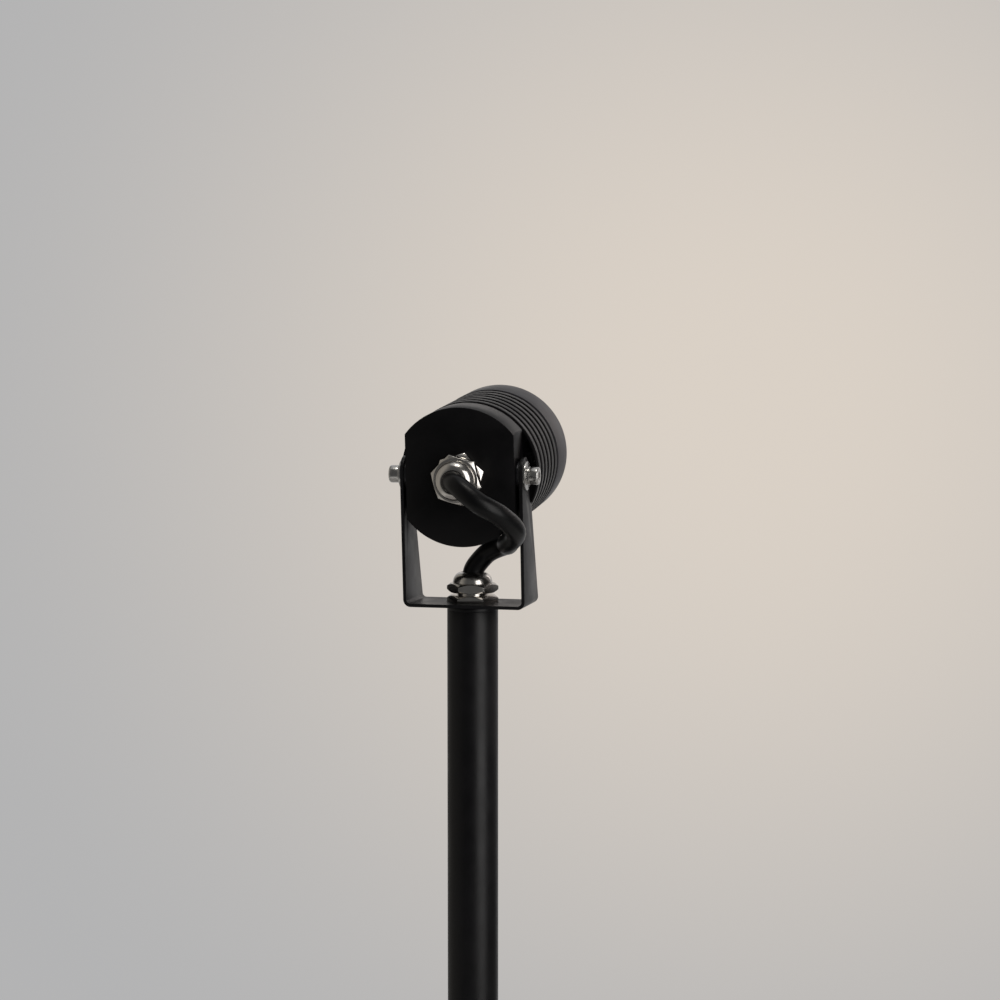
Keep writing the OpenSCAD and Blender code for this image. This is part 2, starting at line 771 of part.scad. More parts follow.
// Aluminium disc that carries the lamp and takes its heat to the housing
module heat_spreader() {
    color([0.72, 0.72, 0.73]) along_head() difference() {
        translate([0, 0, spreader_s])
            cylinder(d = lamp_bore_d - 2 * slip_gap, h = spreader_t);
        for (a = spreader_screw_turns)
            rotate([0, 0, a]) translate([spreader_screw_r, 0, spreader_s - 1])
                cylinder(d = board_screw_d + 2 * slip_gap, h = spreader_t + 2);
        for (a = board_screw_turns)
            rotate([0, 0, a]) translate([board_screw_r, 0, spreader_s - 1])
                cylinder(d = board_screw_d + 2 * run_gap, h = spreader_t + 2);
        for (a = lamp_wire_turns)
            rotate([0, 0, a]) translate([lamp_wire_r, 0, spreader_s - 1])
                cylinder(d = wire_hole_d, h = spreader_t + 2);
    }
}

// A pan head screw with its seat at z = 0, pointing down
module pan_screw(d, length) {
    cylinder(d = board_screw_head_d, h = board_screw_head_h * 0.6);
    translate([0, 0, board_screw_head_h * 0.6])
        cylinder(d1 = board_screw_head_d, d2 = board_screw_head_d - 1.4,
                 h = board_screw_head_h * 0.4);
    translate([0, 0, -length]) cylinder(d = d, h = length + eps);
}

// Three screws that hold the spreader on the housing's shoulder
module spreader_screws() {
    color([0.7, 0.7, 0.7]) along_head() for (a = spreader_screw_turns)
        rotate([0, 0, a]) translate([spreader_screw_r, 0, board_pad_s])
            pan_screw(board_screw_d, spreader_screw_len);
}

// Heat-conducting pad under the lamp board
module board_pad() {
    color([0.6, 0.62, 0.68]) along_head() translate([0, 0, board_pad_s])
        cylinder(d = pad_d, h = pad_t);
}

// Round lamp board
module lamp_board() {
    color([0.93, 0.93, 0.92]) along_head() difference() {
        translate([0, 0, board_s]) cylinder(d = board_d, h = board_t);
        for (a = board_screw_turns)
            rotate([0, 0, a]) translate([board_screw_r, 0, board_s - 1])
                cylinder(d = board_screw_d + 2 * slip_gap, h = board_t + 2);
        for (a = lamp_wire_turns)
            rotate([0, 0, a]) translate([lamp_wire_r, 0, board_s - 1])
                cylinder(d = wire_hole_d, h = board_t + 2);
    }
}

// Round emitter on the lamp board
module lamp_emitter() {
    color([0.95, 0.8, 0.3]) along_head() translate([0, 0, emitter_s])
        cylinder(d = emitter_d, h = emitter_h);
}

// White holder ring that presses the emitter down and centres the reflector
module lamp_holder() {
    color([0.9, 0.9, 0.88]) along_head() translate([0, 0, holder_s]) difference() {
        ring(holder_d, emitter_d + 2 * slip_gap, holder_h);
        translate([0, 0, holder_h - reflector_seat])
            cylinder(r = reflector_neck_r + reflector_wall + slip_gap, h = holder_h);
    }
}

// Three screws that hold the lamp board
module board_screws() {
    color([0.7, 0.7, 0.7]) along_head() for (a = board_screw_turns)
        rotate([0, 0, a]) translate([board_screw_r, 0, emitter_s])
            pan_screw(board_screw_d, board_screw_len);
}

// Two wires from the driver through the spreader to the lamp board
module lamp_wires() {
    color([0.6, 0.08, 0.06]) along_head() for (a = lamp_wire_turns)
        rotate([0, 0, a]) translate([lamp_wire_r, 0, driver_front_s])
            cylinder(d = lamp_wire_d, h = emitter_s - driver_front_s + 0.5, $fn = 24);
}

// Bright cone from the emitter to the front glass, with a rim that seats under the gasket
module reflector() {
    mouth_r = window_d / 2 - reflector_rim_w;
    rim_r = lamp_bore_d / 2 - slip_gap;
    top_s = spigot_s;
    low_s = reflector_s - reflector_seat;
    color([0.86, 0.86, 0.87]) along_head() rotate_extrude() polygon([
        [reflector_neck_r, low_s], [reflector_neck_r + reflector_wall, low_s],
        [reflector_neck_r + reflector_wall, reflector_s],
        [mouth_r + reflector_wall, top_s - reflector_flange_t],
        [rim_r, top_s - reflector_flange_t], [rim_r, top_s], [mouth_r, top_s]
    ]);
}

// Silicone gasket between the housing and the glass
module glass_gasket() {
    color([0.08, 0.08, 0.08]) along_head() translate([0, 0, spigot_s])
        ring(groove_floor_d, groove_floor_d - 2 * gasket_w - 2 * reflector_wall, gasket_t);
}

// Toughened front glass
module front_glass() {
    color([0.8, 0.9, 0.92, 0.4]) along_head() translate([0, 0, glass_s])
        cylinder(d = groove_floor_d, h = glass_t);
}

// Bezel that screws over the spigot and clamps the glass
module front_bezel() {
    inner_r = groove_floor_d / 2 + run_gap;
    color([0.18, 0.18, 0.19]) along_head() rotate_extrude() polygon([
        [inner_r, bezel_s], [bezel_d / 2 - edge, bezel_s], [bezel_d / 2, bezel_s + edge],
        [bezel_d / 2, front_s - 2 * edge], [bezel_d / 2 - 2 * edge, front_s],
        [window_d / 2 + front_s - lip_s - 0.6, front_s], [window_d / 2, lip_s + 0.6],
        [window_d / 2, lip_s], [inner_r, lip_s]
    ]);
}

foot_plate();
foot_collar();
collar_grub_screws();
foot_grommet();
pole_tube();
pole_plug();
swivel_washer();
u_bracket();
lower_gland_body();
lower_cap_nut();
lower_gland_seal();
lower_gland_ring();
gland_locknut();
wave_washer();
connection_lead();
lead_splice();
hinge_screws();
spring_washers();
flat_washers();
friction_discs();
hinge_spacers();
head_housing();
rear_gland_body();
rear_cap_nut();
rear_gland_seal();
rear_gland_ring();
driver();
driver_wires();
driver_pad();
heat_spreader();
spreader_screws();
board_pad();
lamp_board();
lamp_emitter();
lamp_holder();
board_screws();
lamp_wires();
reflector();
glass_gasket();
front_glass();
front_bezel();
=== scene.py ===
"""Adjustable garden spotlight on a pole: the visible pieces, modelled over the CAD frame."""

import json
import math

import bmesh
import bpy
from bpy.props import FloatProperty, FloatVectorProperty, IntProperty, PointerProperty
from mathutils import Matrix, Vector


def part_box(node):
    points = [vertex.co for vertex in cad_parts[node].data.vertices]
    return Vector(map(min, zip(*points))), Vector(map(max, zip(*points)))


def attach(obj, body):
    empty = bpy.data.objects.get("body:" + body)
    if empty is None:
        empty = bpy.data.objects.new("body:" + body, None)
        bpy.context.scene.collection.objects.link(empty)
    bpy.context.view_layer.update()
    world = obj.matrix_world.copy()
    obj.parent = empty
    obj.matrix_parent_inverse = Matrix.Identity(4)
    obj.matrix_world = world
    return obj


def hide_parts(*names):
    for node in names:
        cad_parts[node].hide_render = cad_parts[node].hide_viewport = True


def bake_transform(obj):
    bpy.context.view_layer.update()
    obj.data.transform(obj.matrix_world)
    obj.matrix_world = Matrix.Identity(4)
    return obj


bl_info = {
    "name": "Garden Spotlight",
    "version": (1, 0, 0),
    "blender": (4, 5, 0),
    "location": "3D Viewport > Sidebar > Spotlight",
    "description": "Models an adjustable garden spotlight piece by piece",
    "category": "Add Mesh",
}

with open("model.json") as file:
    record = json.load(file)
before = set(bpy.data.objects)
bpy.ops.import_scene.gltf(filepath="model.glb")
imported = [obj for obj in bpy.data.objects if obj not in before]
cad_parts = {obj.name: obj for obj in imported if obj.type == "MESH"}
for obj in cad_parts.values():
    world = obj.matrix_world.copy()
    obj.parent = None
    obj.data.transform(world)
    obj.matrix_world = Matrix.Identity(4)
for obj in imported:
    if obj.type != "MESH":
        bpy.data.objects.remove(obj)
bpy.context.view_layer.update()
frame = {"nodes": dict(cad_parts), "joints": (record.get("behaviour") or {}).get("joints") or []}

MM = 0.001
JOINTS = {joint["name"]: joint for joint in frame["joints"]}
HINGE = Vector(JOINTS["head_tilt"]["pos_m"])
BASE_LOW, BASE_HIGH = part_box("u_bracket")
POLE_LOW, POLE_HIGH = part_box("pole_tube")
SWIVEL_LOW, SWIVEL_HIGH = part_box("swivel_washer")

# Places along the head's axis, measured forwards from the hinge axis
REAR, FLAT_FRONT, FIRST_FIN, SHOULDER = -9 * MM, 9.3 * MM, 13.2 * MM, 20 * MM
BEZEL_START, SPIGOT_END, FRONT = 58.2 * MM, 71.8 * MM, 79.6 * MM


def length(name, description, default):
    """A length that a user may halve or double."""
    return FloatProperty(
        name=name,
        description=description,
        default=default,
        min=default / 2,
        max=default * 2,
        unit="LENGTH",
        precision=5,
    )


def colour(name, description, default):
    """A colour without alpha."""
    return FloatVectorProperty(
        name=name,
        description=description,
        default=default,
        subtype="COLOR",
        size=3,
        min=0.0,
        max=1.0,
    )


class SpotlightStand(bpy.types.PropertyGroup):
    """Sizes of the foot, the pole and the bracket."""

    pole_wall: length("Pole wall", "Wall of the pole tube", 1.5 * MM)
    anchor_circle: length("Anchor circle", "Diameter of the circle of anchor holes", 104 * MM)
    anchor_hole: length("Anchor hole", "Diameter of each anchor hole", 9 * MM)
    anchor_count: IntProperty(
        name="Anchor holes", description="Number of anchor holes", default=4, min=3, max=6
    )
    weld_bead: length("Weld bead", "Thickness of the weld round the collar", 2.6 * MM)
    sheet: length("Bracket sheet", "Thickness of the bracket's sheet", 1.6 * MM)
    bend: length("Bend radius", "Outside radius of the bracket's two bends", 3.6 * MM)
    ear: length("Ear radius", "Radius of the rounded top of each leg", 7.4 * MM)
    soft_edge: length("Softened edge", "Round on painted edges", 0.3 * MM)


class SpotlightHead(bpy.types.PropertyGroup):
    """Sizes of the head and its front."""

    tilt: FloatProperty(
        name="Tilt",
        description="Tilt of the head above level, as the frame has it",
        default=math.radians(5.5),
        min=0.0,
        max=math.radians(20),
        subtype="ANGLE",
    )
    rear: length("Rear diameter", "Diameter of the turned rear section", 67.6 * MM)
    fin: length("Fin diameter", "Diameter over the fins", 68 * MM)
    fin_width: length("Fin width", "Width of one fin", 4.1 * MM)
    groove_width: length("Groove width", "Width of one groove", 3.4 * MM)
    groove_depth: length("Groove depth", "Depth of the grooves", 4.5 * MM)
    groove_count: IntProperty(
        name="Grooves", description="Number of grooves", default=6, min=3, max=9
    )
    flats: length("Flats", "Width over the two flats", 53.5 * MM)
    lip: length("Lip", "Width of the bezel's lip in front of the glass", 2.5 * MM)
    glass: length("Glass", "Thickness of the front glass", 4 * MM)


class SpotlightFittings(bpy.types.PropertyGroup):
    """Sizes of the glands, the screws and the lead."""

    across_flats: length("Across flats", "Width across flats of the gland nuts", 22 * MM)
    thread: length("Gland thread", "Thread diameter of the glands", 16 * MM)
    dome: length("Dome", "Diameter of the cap nut's dome", 19.4 * MM)
    lead: length("Lead", "Diameter of the rubber lead", 10 * MM)
    screw: length("Hinge screw", "Thread diameter of the hinge screws", 5 * MM)
    screw_head: length("Screw head", "Diameter of the socket head", 8.5 * MM)
    socket: length("Socket", "Width across flats of the socket", 4 * MM)
    washer: length("Washer", "Diameter of the flat washers", 14 * MM)


class SpotlightColours(bpy.types.PropertyGroup):
    """Colours of the finishes."""

    coat: colour("Coat", "Powder coat of the head and the foot", (0.0023, 0.0021, 0.0025))
    graphite: colour("Graphite", "Paint of the pole and the bracket", (0.0038, 0.0036, 0.0043))
    nickel: colour("Nickel", "Plating of the glands", (0.74, 0.71, 0.67))
    steel: colour("Steel", "Stainless steel of the screws", (0.66, 0.65, 0.63))
    rubber: colour("Rubber", "Rubber of the lead", (0.0016, 0.0017, 0.0021))
    phosphor: colour("Phosphor", "Gel of the emitter", (0.85, 0.52, 0.06))
    floor: colour("Floor", "Plain studio floor", (0.46, 0.455, 0.45))
    cool_wall: colour("Cool wall", "Cool side of the backdrop", (0.452, 0.452, 0.456))
    # A painted pool of warm light on the backdrop
    painted_warm_glow: colour("Painted warm glow", "Warm glow on the backdrop", (0.70, 0.635, 0.565))


# Edit helpers


def deselect():
    """Leaves no object selected, in object mode."""
    if bpy.context.object and bpy.context.object.mode != "OBJECT":
        bpy.ops.object.mode_set(mode="OBJECT")
    bpy.ops.object.select_all(action="DESELECT")


def choose(piece):
    """Makes a piece the only selected and active object."""
    deselect()
    piece.select_set(True)
    bpy.context.view_layer.objects.active = piece


def edit(piece):
    """Opens a piece in edit mode with everything selected."""
    choose(piece)
    bpy.ops.object.mode_set(mode="EDIT")
    bpy.ops.mesh.select_all(action="SELECT")


def pick_points(piece, wanted):
    """Selects only the vertices for which wanted(vertex) holds, in edit mode."""
    bpy.ops.mesh.select_all(action="DESELECT")
    bpy.ops.mesh.select_mode(type="VERT")
    shell = bmesh.from_edit_mesh(piece.data)
    for point in shell.verts:
        point.select_set(bool(wanted(point)))
    bmesh.update_edit_mesh(piece.data)


def close_up(piece):
    """Merges doubles and points every face outwards."""
    edit(piece)
    bpy.ops.mesh.remove_doubles(threshold=0.002 * MM)
    bpy.ops.mesh.normals_make_consistent(inside=False)
    bpy.ops.object.mode_set(mode="OBJECT")


def apply_modifier(piece, kind, **settings):
    """Adds a modifier with its settings and applies it."""
    choose(piece)
    bpy.ops.object.modifier_add(type=kind)
    modifier = piece.modifiers[-1]
    for key, value in settings.items():
        setattr(modifier, key, value)
    bpy.ops.object.modifier_apply(modifier=modifier.name)


def soften(piece, width, segments=2, angle=28):
    """Rounds the edges of a piece that are sharper than the angle."""
    apply_modifier(
        piece,
        "BEVEL",
        width=width,
        segments=segments,
        limit_method="ANGLE",
        angle_limit=math.radians(angle),
        use_clamp_overlap=True,
        harden_normals=False,
    )


def shade(piece, angle=28):
    """Shades smooth across edges flatter than the angle."""
    choose(piece)
    bpy.ops.object.shade_smooth_by_angle(angle=math.radians(angle))


def carve(piece, cutter, operation="DIFFERENCE"):
    """Cuts a piece with another solid, which is then deleted."""
    apply_modifier(piece, "BOOLEAN", operation=operation, object=cutter, solver="EXACT")
    choose(cutter)
    bpy.ops.object.delete()


def place(piece, matrix):
    """Turns and moves a piece, and leaves its object at the origin."""
    choose(piece)
    piece.matrix_world = matrix @ piece.matrix_world
    bpy.ops.object.transform_apply(location=True, rotation=True, scale=True)


def copied(piece, matrix):
    """A copy of a piece with its own mesh, turned and moved."""
    choose(piece)
    bpy.ops.object.duplicate(linked=False)
    twin = bpy.context.object
    place(twin, matrix)
    return twin


def joined(name, pieces):
    """Several loose pieces as one object."""
    deselect()
    for piece in pieces:
        piece.select_set(True)
    bpy.context.view_layer.objects.active = pieces[0]
    bpy.ops.object.join()
    pieces[0].name = name
    return pieces[0]


def arc(centre, radius, start, end, count):
    """Points of (radius, height) on an arc, angles in degrees from +radius towards +height."""
    steps = [math.radians(start + (end - start) * k / count) for k in range(count + 1)]
    return [
        (centre[0] + radius * math.cos(a), centre[1] + radius * math.sin(a)) for a in steps
    ]


def sleeve(bore, radius, low, high):
    """The outline of a plain tube."""
    return [(bore, low), (radius, low), (radius, high), (bore, high)]


def turned(name, outline, steps=128, ring=True, angle=math.tau):
    """Spins an outline of (radius, height) points about +Z, as on a lathe.

    A ring's outline is closed. Any other outline starts and ends on the axis, or is a sheet.
    """
    deselect()
    bpy.ops.mesh.primitive_plane_add(size=MM)
    piece = bpy.context.object
    piece.name = name
    bpy.ops.object.mode_set(mode="EDIT")
    bpy.ops.mesh.select_mode(type="VERT")
    bpy.ops.mesh.merge(type="CENTER")
    at = (0.0, 0.0)
    for index, (radius, height) in enumerate(outline):
        step = (radius - at[0], 0, height - at[1])
        if index == 0:
            bpy.ops.transform.translate(value=step)
        else:
            bpy.ops.mesh.extrude_vertices_move(TRANSFORM_OT_translate={"value": step})
        at = (radius, height)
    if ring:
        pick_points(piece, lambda point: len(point.link_edges) == 1)
        bpy.ops.mesh.edge_face_add()
    bpy.ops.mesh.select_all(action="SELECT")
    bpy.ops.mesh.spin(steps=steps, angle=angle, center=(0, 0, 0), axis=(0, 0, 1))
    close_up(piece)
    return piece


def prism(name, corners, step):
    """A block whose end has the given corners, and which reaches one step from there."""
    deselect()
    bpy.ops.mesh.primitive_circle_add(vertices=len(corners), radius=MM, fill_type="NGON")
    block = bpy.context.object
    block.name = name
    for point, corner in zip(block.data.vertices, corners, strict=True):
        point.co = corner
    edit(block)
    bpy.ops.mesh.extrude_region_move(TRANSFORM_OT_translate={"value": step})
    close_up(block)
    return block


def round_bar(name, radius, low, high, steps=64):
    """A plain bar along +Z, for cutting holes and for nuts."""
    deselect()
    bpy.ops.mesh.primitive_cylinder_add(
        vertices=steps, radius=radius, depth=high - low, location=(0, 0, (low + high) / 2)
    )
    bar = bpy.context.object
    bar.name = name
    place(bar, Matrix.Identity(4))
    return bar


def hex_bar(name, across_flats, low, high, turn=0.0):
    """A hexagonal bar along +Z, with a corner at the turn's angle."""
    bar = round_bar(name, across_flats / 2 / math.cos(math.pi / 6), low, high, 6)
    place(bar, Matrix.Rotation(turn + math.pi / 6, 4, "Z"))
    return bar


def box_bar(name, low, high):
    """A block between two corners, for cutting."""
    deselect()
    bpy.ops.mesh.primitive_cube_add(size=1, location=(Vector(low) + Vector(high)) / 2)
    block = bpy.context.object
    block.name = name
    block.scale = Vector(high) - Vector(low)
    place(block, Matrix.Identity(4))
    return block


def paint(piece, look):
    """Gives a piece the finish of that name and no other."""
    piece.data.materials.clear()
    piece.data.materials.append(finish(look))


def dress(piece, look, body, slot, *nodes, soft=(), angle=28, at=None):
    """Softens, shades and places a piece and gives it its finish.

    It also parents it to the body that carries it, if just one does, and hides the CAD nodes that
    it stands for.
    """
    if soft:
        soften(piece, *soft)
    if angle:
        shade(piece, angle)
    if at:
        place(piece, at)
    paint(piece, look)
    if nodes:
        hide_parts(*nodes)
    if body:
        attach(piece, body)


# Places in the frame


def head_place(along=0.0):
    """Turns +Z into the head's axis, from the hinge axis forwards."""
    tilt = bpy.context.scene.spotlight_head.tilt
    return (
        Matrix.Translation(HINGE)
        @ Matrix.Rotation(tilt, 4, "X")
        @ Matrix.Rotation(-math.pi / 2, 4, "X")
        @ Matrix.Translation((0, 0, along))
    )


def rear_gland_place():
    """Puts a gland's seat on the rear wall, pointing out of it."""
    return head_place(REAR) @ Matrix.Rotation(math.pi, 4, "X")


def lower_gland_place():
    """Puts a gland's seat on the bracket's base."""
    return Matrix.Translation((0, 0, SWIVEL_HIGH.z + bpy.context.scene.spotlight_stand.sheet))


def screw_place(side, out):
    """Puts +Z along the hinge axis, away from the head, on the side of that sign."""
    tilt = bpy.context.scene.spotlight_head.tilt
    return (
        Matrix.Translation(HINGE)
        @ Matrix.Rotation(tilt, 4, "X")
        @ Matrix.Translation((side * out, 0, 0))
        @ Matrix.Rotation(side * math.pi / 2, 4, "Y")
    )


# Shader nodes


def wire(tree, inputs, values):
    """Links sockets to inputs, or sets numbers and colours on them, by label or position."""
    for label, value in values.items():
        if isinstance(value, bpy.types.NodeSocket):
            tree.links.new(value, inputs[label])
        elif inputs[label].type == "RGBA":
            inputs[label].default_value = (*value, 1.0)
        else:
            inputs[label].default_value = value


def new_node(tree, kind, values, **settings):
    """A node with its settings and its wired inputs."""
    node = tree.nodes.new(kind)
    for key, value in settings.items():
        setattr(node, key, value)
    wire(tree, node.inputs, values)
    return node


def noise_node(tree, vector, scale, detail=2.0, roughness=0.5):
    """A noise texture read at a vector."""
    values = {"Vector": vector, "Scale": scale, "Detail": detail, "Roughness": roughness}
    return new_node(tree, "ShaderNodeTexNoise", values).outputs["Fac"]


def math_node(tree, operation, *values, clamp=False):
    """A math node on sockets or numbers."""
    return new_node(
        tree,
        "ShaderNodeMath",
        dict(enumerate(values)),
        operation=operation,
        use_clamp=clamp,
    ).outputs[0]


def range_node(tree, value, low, high, to_low=0.0, to_high=1.0):
    """Maps a value from one range to another, smoothly and clamped."""
    ends = {"From Min": low, "From Max": high, "To Min": to_low, "To Max": to_high}
    return new_node(
        tree,
        "ShaderNodeMapRange",
        {"Value": value, **ends},
        interpolation_type="SMOOTHSTEP",
        clamp=True,
    ).outputs["Result"]


def mix_colours(tree, factor, first, second):
    """Mixes two colours, each a socket or a colour, by a socket."""
    node = new_node(tree, "ShaderNodeMix", {0: factor}, data_type="RGBA")
    pair = [socket for socket in node.inputs if socket.type == "RGBA"]
    wire(tree, pair, {0: first, 1: second})
    return next(socket for socket in node.outputs if socket.type == "RGBA")


def from_centre(tree, vector):
    """The length of a vector."""
    node = new_node(tree, "ShaderNodeVectorMath", {0: vector}, operation="LENGTH")
    return node.outputs["Value"]


def split_up(tree, vector):
    """The three parts of a vector."""
    return new_node(tree, "ShaderNodeSeparateXYZ", {0: vector}).outputs


def group_tree(name, inputs, outputs):
    """An empty node group that reads a vector and numbers, and puts out numbers."""
    tree = bpy.data.node_groups.new(name, "ShaderNodeTree")
    tree.interface.new_socket("Vector", in_out="INPUT", socket_type="NodeSocketVector")
    for label, value in inputs.items():
        socket = tree.interface.new_socket(
            label, in_out="INPUT", socket_type="NodeSocketFloat"
        )
        socket.default_value = value
    for label in outputs:
        tree.interface.new_socket(label, in_out="OUTPUT", socket_type="NodeSocketFloat")
    given = tree.nodes.new("NodeGroupInput").outputs
    return tree, given, tree.nodes.new("NodeGroupOutput").inputs


def coating_grain():
    """Fine bumps of a sprayed coat, with pale specks and broad patches."""
    tree, given, made = group_tree(
        "Coating grain", {"Grain": 1600.0, "Patch": 45.0}, ("Height", "Specks", "Patches")
    )
    fine = noise_node(tree, given["Vector"], given["Grain"], 3.0, 0.6)
    finer_scale = math_node(tree, "MULTIPLY", given["Grain"], 2.3)
    finer = noise_node(tree, given["Vector"], finer_scale, 1.0)
    broad = noise_node(tree, given["Vector"], given["Patch"], 4.0, 0.55)
    results = {
        "Height": math_node(tree, "MULTIPLY_ADD", finer, 0.4, fine),
        "Specks": range_node(tree, finer, 0.60, 0.78),
        "Patches": range_node(tree, broad, 0.35, 0.68),
    }
    wire(tree, made, results)
    return tree


def turning_marks():
    """Rings that a lathe tool leaves round the mapped +Z axis."""
    tree, given, made = group_tree("Turning marks", {"Pitch": 0.0004}, ("Height",))
    x, y, z = split_up(tree, given["Vector"])
    squares = [math_node(tree, "MULTIPLY", part, part) for part in (x, y)]
    radius = math_node(tree, "SQRT", math_node(tree, "ADD", *squares))
    along = math_node(tree, "ADD", radius, math_node(tree, "MULTIPLY", z, 0.77))
    turns = math_node(tree, "DIVIDE", along, given["Pitch"])
    values = {"W": turns, "Scale": 1.0, "Detail": 2.0}
    ring = new_node(tree, "ShaderNodeTexNoise", values, noise_dimensions="1D")
    wire(tree, made, {"Height": ring.outputs["Fac"]})
    return tree


def handling_marks():
    """Soft smudges and a few fine scratches."""
    tree, given, made = group_tree(
        "Handling marks", {"Smudge": 60.0, "Scratch": 240.0}, ("Smudges", "Scratches")
    )
    smudge = noise_node(tree, given["Vector"], given["Smudge"], 5.0, 0.6)
    stretch = {"Vector": given["Vector"], "Rotation": (0.4, 0.7, 0.3), "Scale": (1.0, 14.0, 1.0)}
    drawn_out = new_node(tree, "ShaderNodeMapping", stretch).outputs["Vector"]
    line = noise_node(tree, drawn_out, given["Scratch"], 0.0)
    distance = math_node(tree, "ABSOLUTE", math_node(tree, "SUBTRACT", line, 0.5))
    fine = range_node(tree, distance, 0.0, 0.012, 1.0, 0.0)
    some = range_node(tree, smudge, 0.5, 0.62)
    results = {
        "Smudges": range_node(tree, smudge, 0.38, 0.7),
        "Scratches": math_node(tree, "MULTIPLY", fine, some),
    }
    wire(tree, made, results)
    return tree


def settled_dust():
    """A thin pale film on faces that look up."""
    tree, given, made = group_tree("Settled dust", {"Amount": 0.3}, ("Dust",))
    surface = tree.nodes.new("ShaderNodeNewGeometry").outputs["Normal"]
    upward = range_node(tree, split_up(tree, surface)[2], 0.45, 1.0)
    cloud = noise_node(tree, given["Vector"], 320.0, 4.0, 0.65)
    film = math_node(tree, "MULTIPLY", upward, range_node(tree, cloud, 0.35, 0.75, 0.4, 1.0))
    wire(tree, made, {"Dust": math_node(tree, "MULTIPLY", film, given["Amount"])})
    return tree


GROUPS = {
    "Coating grain": coating_grain,
    "Turning marks": turning_marks,
    "Handling marks": handling_marks,
    "Settled dust": settled_dust,
}


def effect(tree, name, vector, **values):
    """Places a shared effect in a material, built the first time it is asked for."""
    node = tree.nodes.new("ShaderNodeGroup")
    node.node_tree = bpy.data.node_groups.get(name) or GROUPS[name]()
    wire(tree, node.inputs, {"Vector": vector, **values})
    return node.outputs


# Materials


def bare_material(name, turned_about=None):
    """A material with one Principled shader, and its mapped object coordinates.

    The coordinates may be those of a turned piece, with +Z along its axis.
    """
    material = bpy.data.materials.new(name)
    material.use_nodes = True
    tree = material.node_tree
    place_in = tree.nodes.new("ShaderNodeTexCoord")
    values = {"Vector": place_in.outputs["Object"]}
    if turned_about is not None:
        local = turned_about.inverted()
        values.update(Location=local.to_translation(), Rotation=local.to_euler())
    mapping = new_node(tree, "ShaderNodeMapping", values)
    return material, tree, tree.nodes["Principled BSDF"].inputs, mapping.outputs["Vector"]


def bump(tree, height, distance):
    """The normal of a surface with that height."""
    values = {"Strength": 1.0, "Distance": distance, "Height": height}
    return new_node(tree, "ShaderNodeBump", values).outputs["Normal"]


def lighter(shade_of, factor):
    """A colour scaled by a factor."""
    return tuple(min(1.0, channel * factor) for channel in shade_of)


def coated(name, base, rough, grain, depth, dust=0.0, gloss=0.5):
    """Painted metal: sprayed grain, patches, and dust on top faces."""
    material, tree, shader, vector = bare_material(name)
    coat = effect(tree, "Coating grain", vector, Grain=grain)
    marks = effect(tree, "Handling marks", vector)
    film = effect(tree, "Settled dust", vector, Amount=dust)
    tint = mix_colours(tree, coat["Patches"], lighter(base, 0.85), lighter(base, 1.25))
    tint = mix_colours(tree, coat["Specks"], tint, lighter(base, 3.0))
    tint = mix_colours(tree, film["Dust"], tint, (0.30, 0.29, 0.28))
    rough = math_node(tree, "MULTIPLY_ADD", marks["Smudges"], -0.08, rough)
    rough = math_node(tree, "MULTIPLY_ADD", coat["Patches"], 0.06, rough)
    values = {"Base Color": tint, "Roughness": rough, "Specular IOR Level": gloss}
    wire(tree, shader, {**values, "Normal": bump(tree, coat["Height"], depth)})
    return material


def plated(name, base, rough, turned_about=None, pitch=0.0004):
    """Bright metal: smudges, fine scratches and, on turned parts, tool rings."""
    material, tree, shader, vector = bare_material(name, turned_about)
    marks = effect(tree, "Handling marks", vector, Smudge=90.0, Scratch=420.0)
    grain = effect(tree, "Coating grain", vector, Grain=5200.0, Patch=120.0)
    tint = mix_colours(tree, grain["Patches"], base, lighter(base, 0.82))
    tint = mix_colours(tree, marks["Scratches"], tint, lighter(base, 0.6))
    rough = math_node(tree, "MULTIPLY_ADD", marks["Smudges"], 0.10, rough)
    height = grain["Height"]
    if turned_about is not None:
        rings = effect(tree, "Turning marks", vector, Pitch=pitch)
        height = math_node(tree, "MULTIPLY_ADD", grain["Height"], 0.15, rings["Height"])
    values = {"Base Color": tint, "Metallic": 1.0, "Roughness": rough}
    wire(tree, shader, {**values, "Normal": bump(tree, height, 0.006 * MM)})
    return material


def moulded(name, base, rough, grain=900.0, depth=0.00002, gloss=0.5):
    """Plain moulded plastic or rubber, with a faint skin texture."""
    material, tree, shader, vector = bare_material(name)
    skin = effect(tree, "Coating grain", vector, Grain=grain, Patch=70.0)
    marks = effect(tree, "Handling marks", vector, Smudge=80.0)
    tint = mix_colours(tree, skin["Patches"], lighter(base, 0.88), lighter(base, 1.12))
    rough = math_node(tree, "MULTIPLY_ADD", marks["Smudges"], -0.10, rough)
    values = {"Base Color": tint, "Roughness": rough, "Specular IOR Level": gloss}
    wire(tree, shader, {**values, "Normal": bump(tree, skin["Height"], depth)})
    return material


def clear_glass(name):
    """Toughened glass with a faint green body."""
    material, tree, shader, vector = bare_material(name)
    marks = effect(tree, "Handling marks", vector, Smudge=35.0)
    rough = math_node(tree, "MULTIPLY", marks["Smudges"], 0.03)
    values = {"Base Color": (0.93, 0.98, 0.96), "Transmission Weight": 1.0, "IOR": 1.5}
    wire(tree, shader, {**values, "Roughness": rough})
    return material


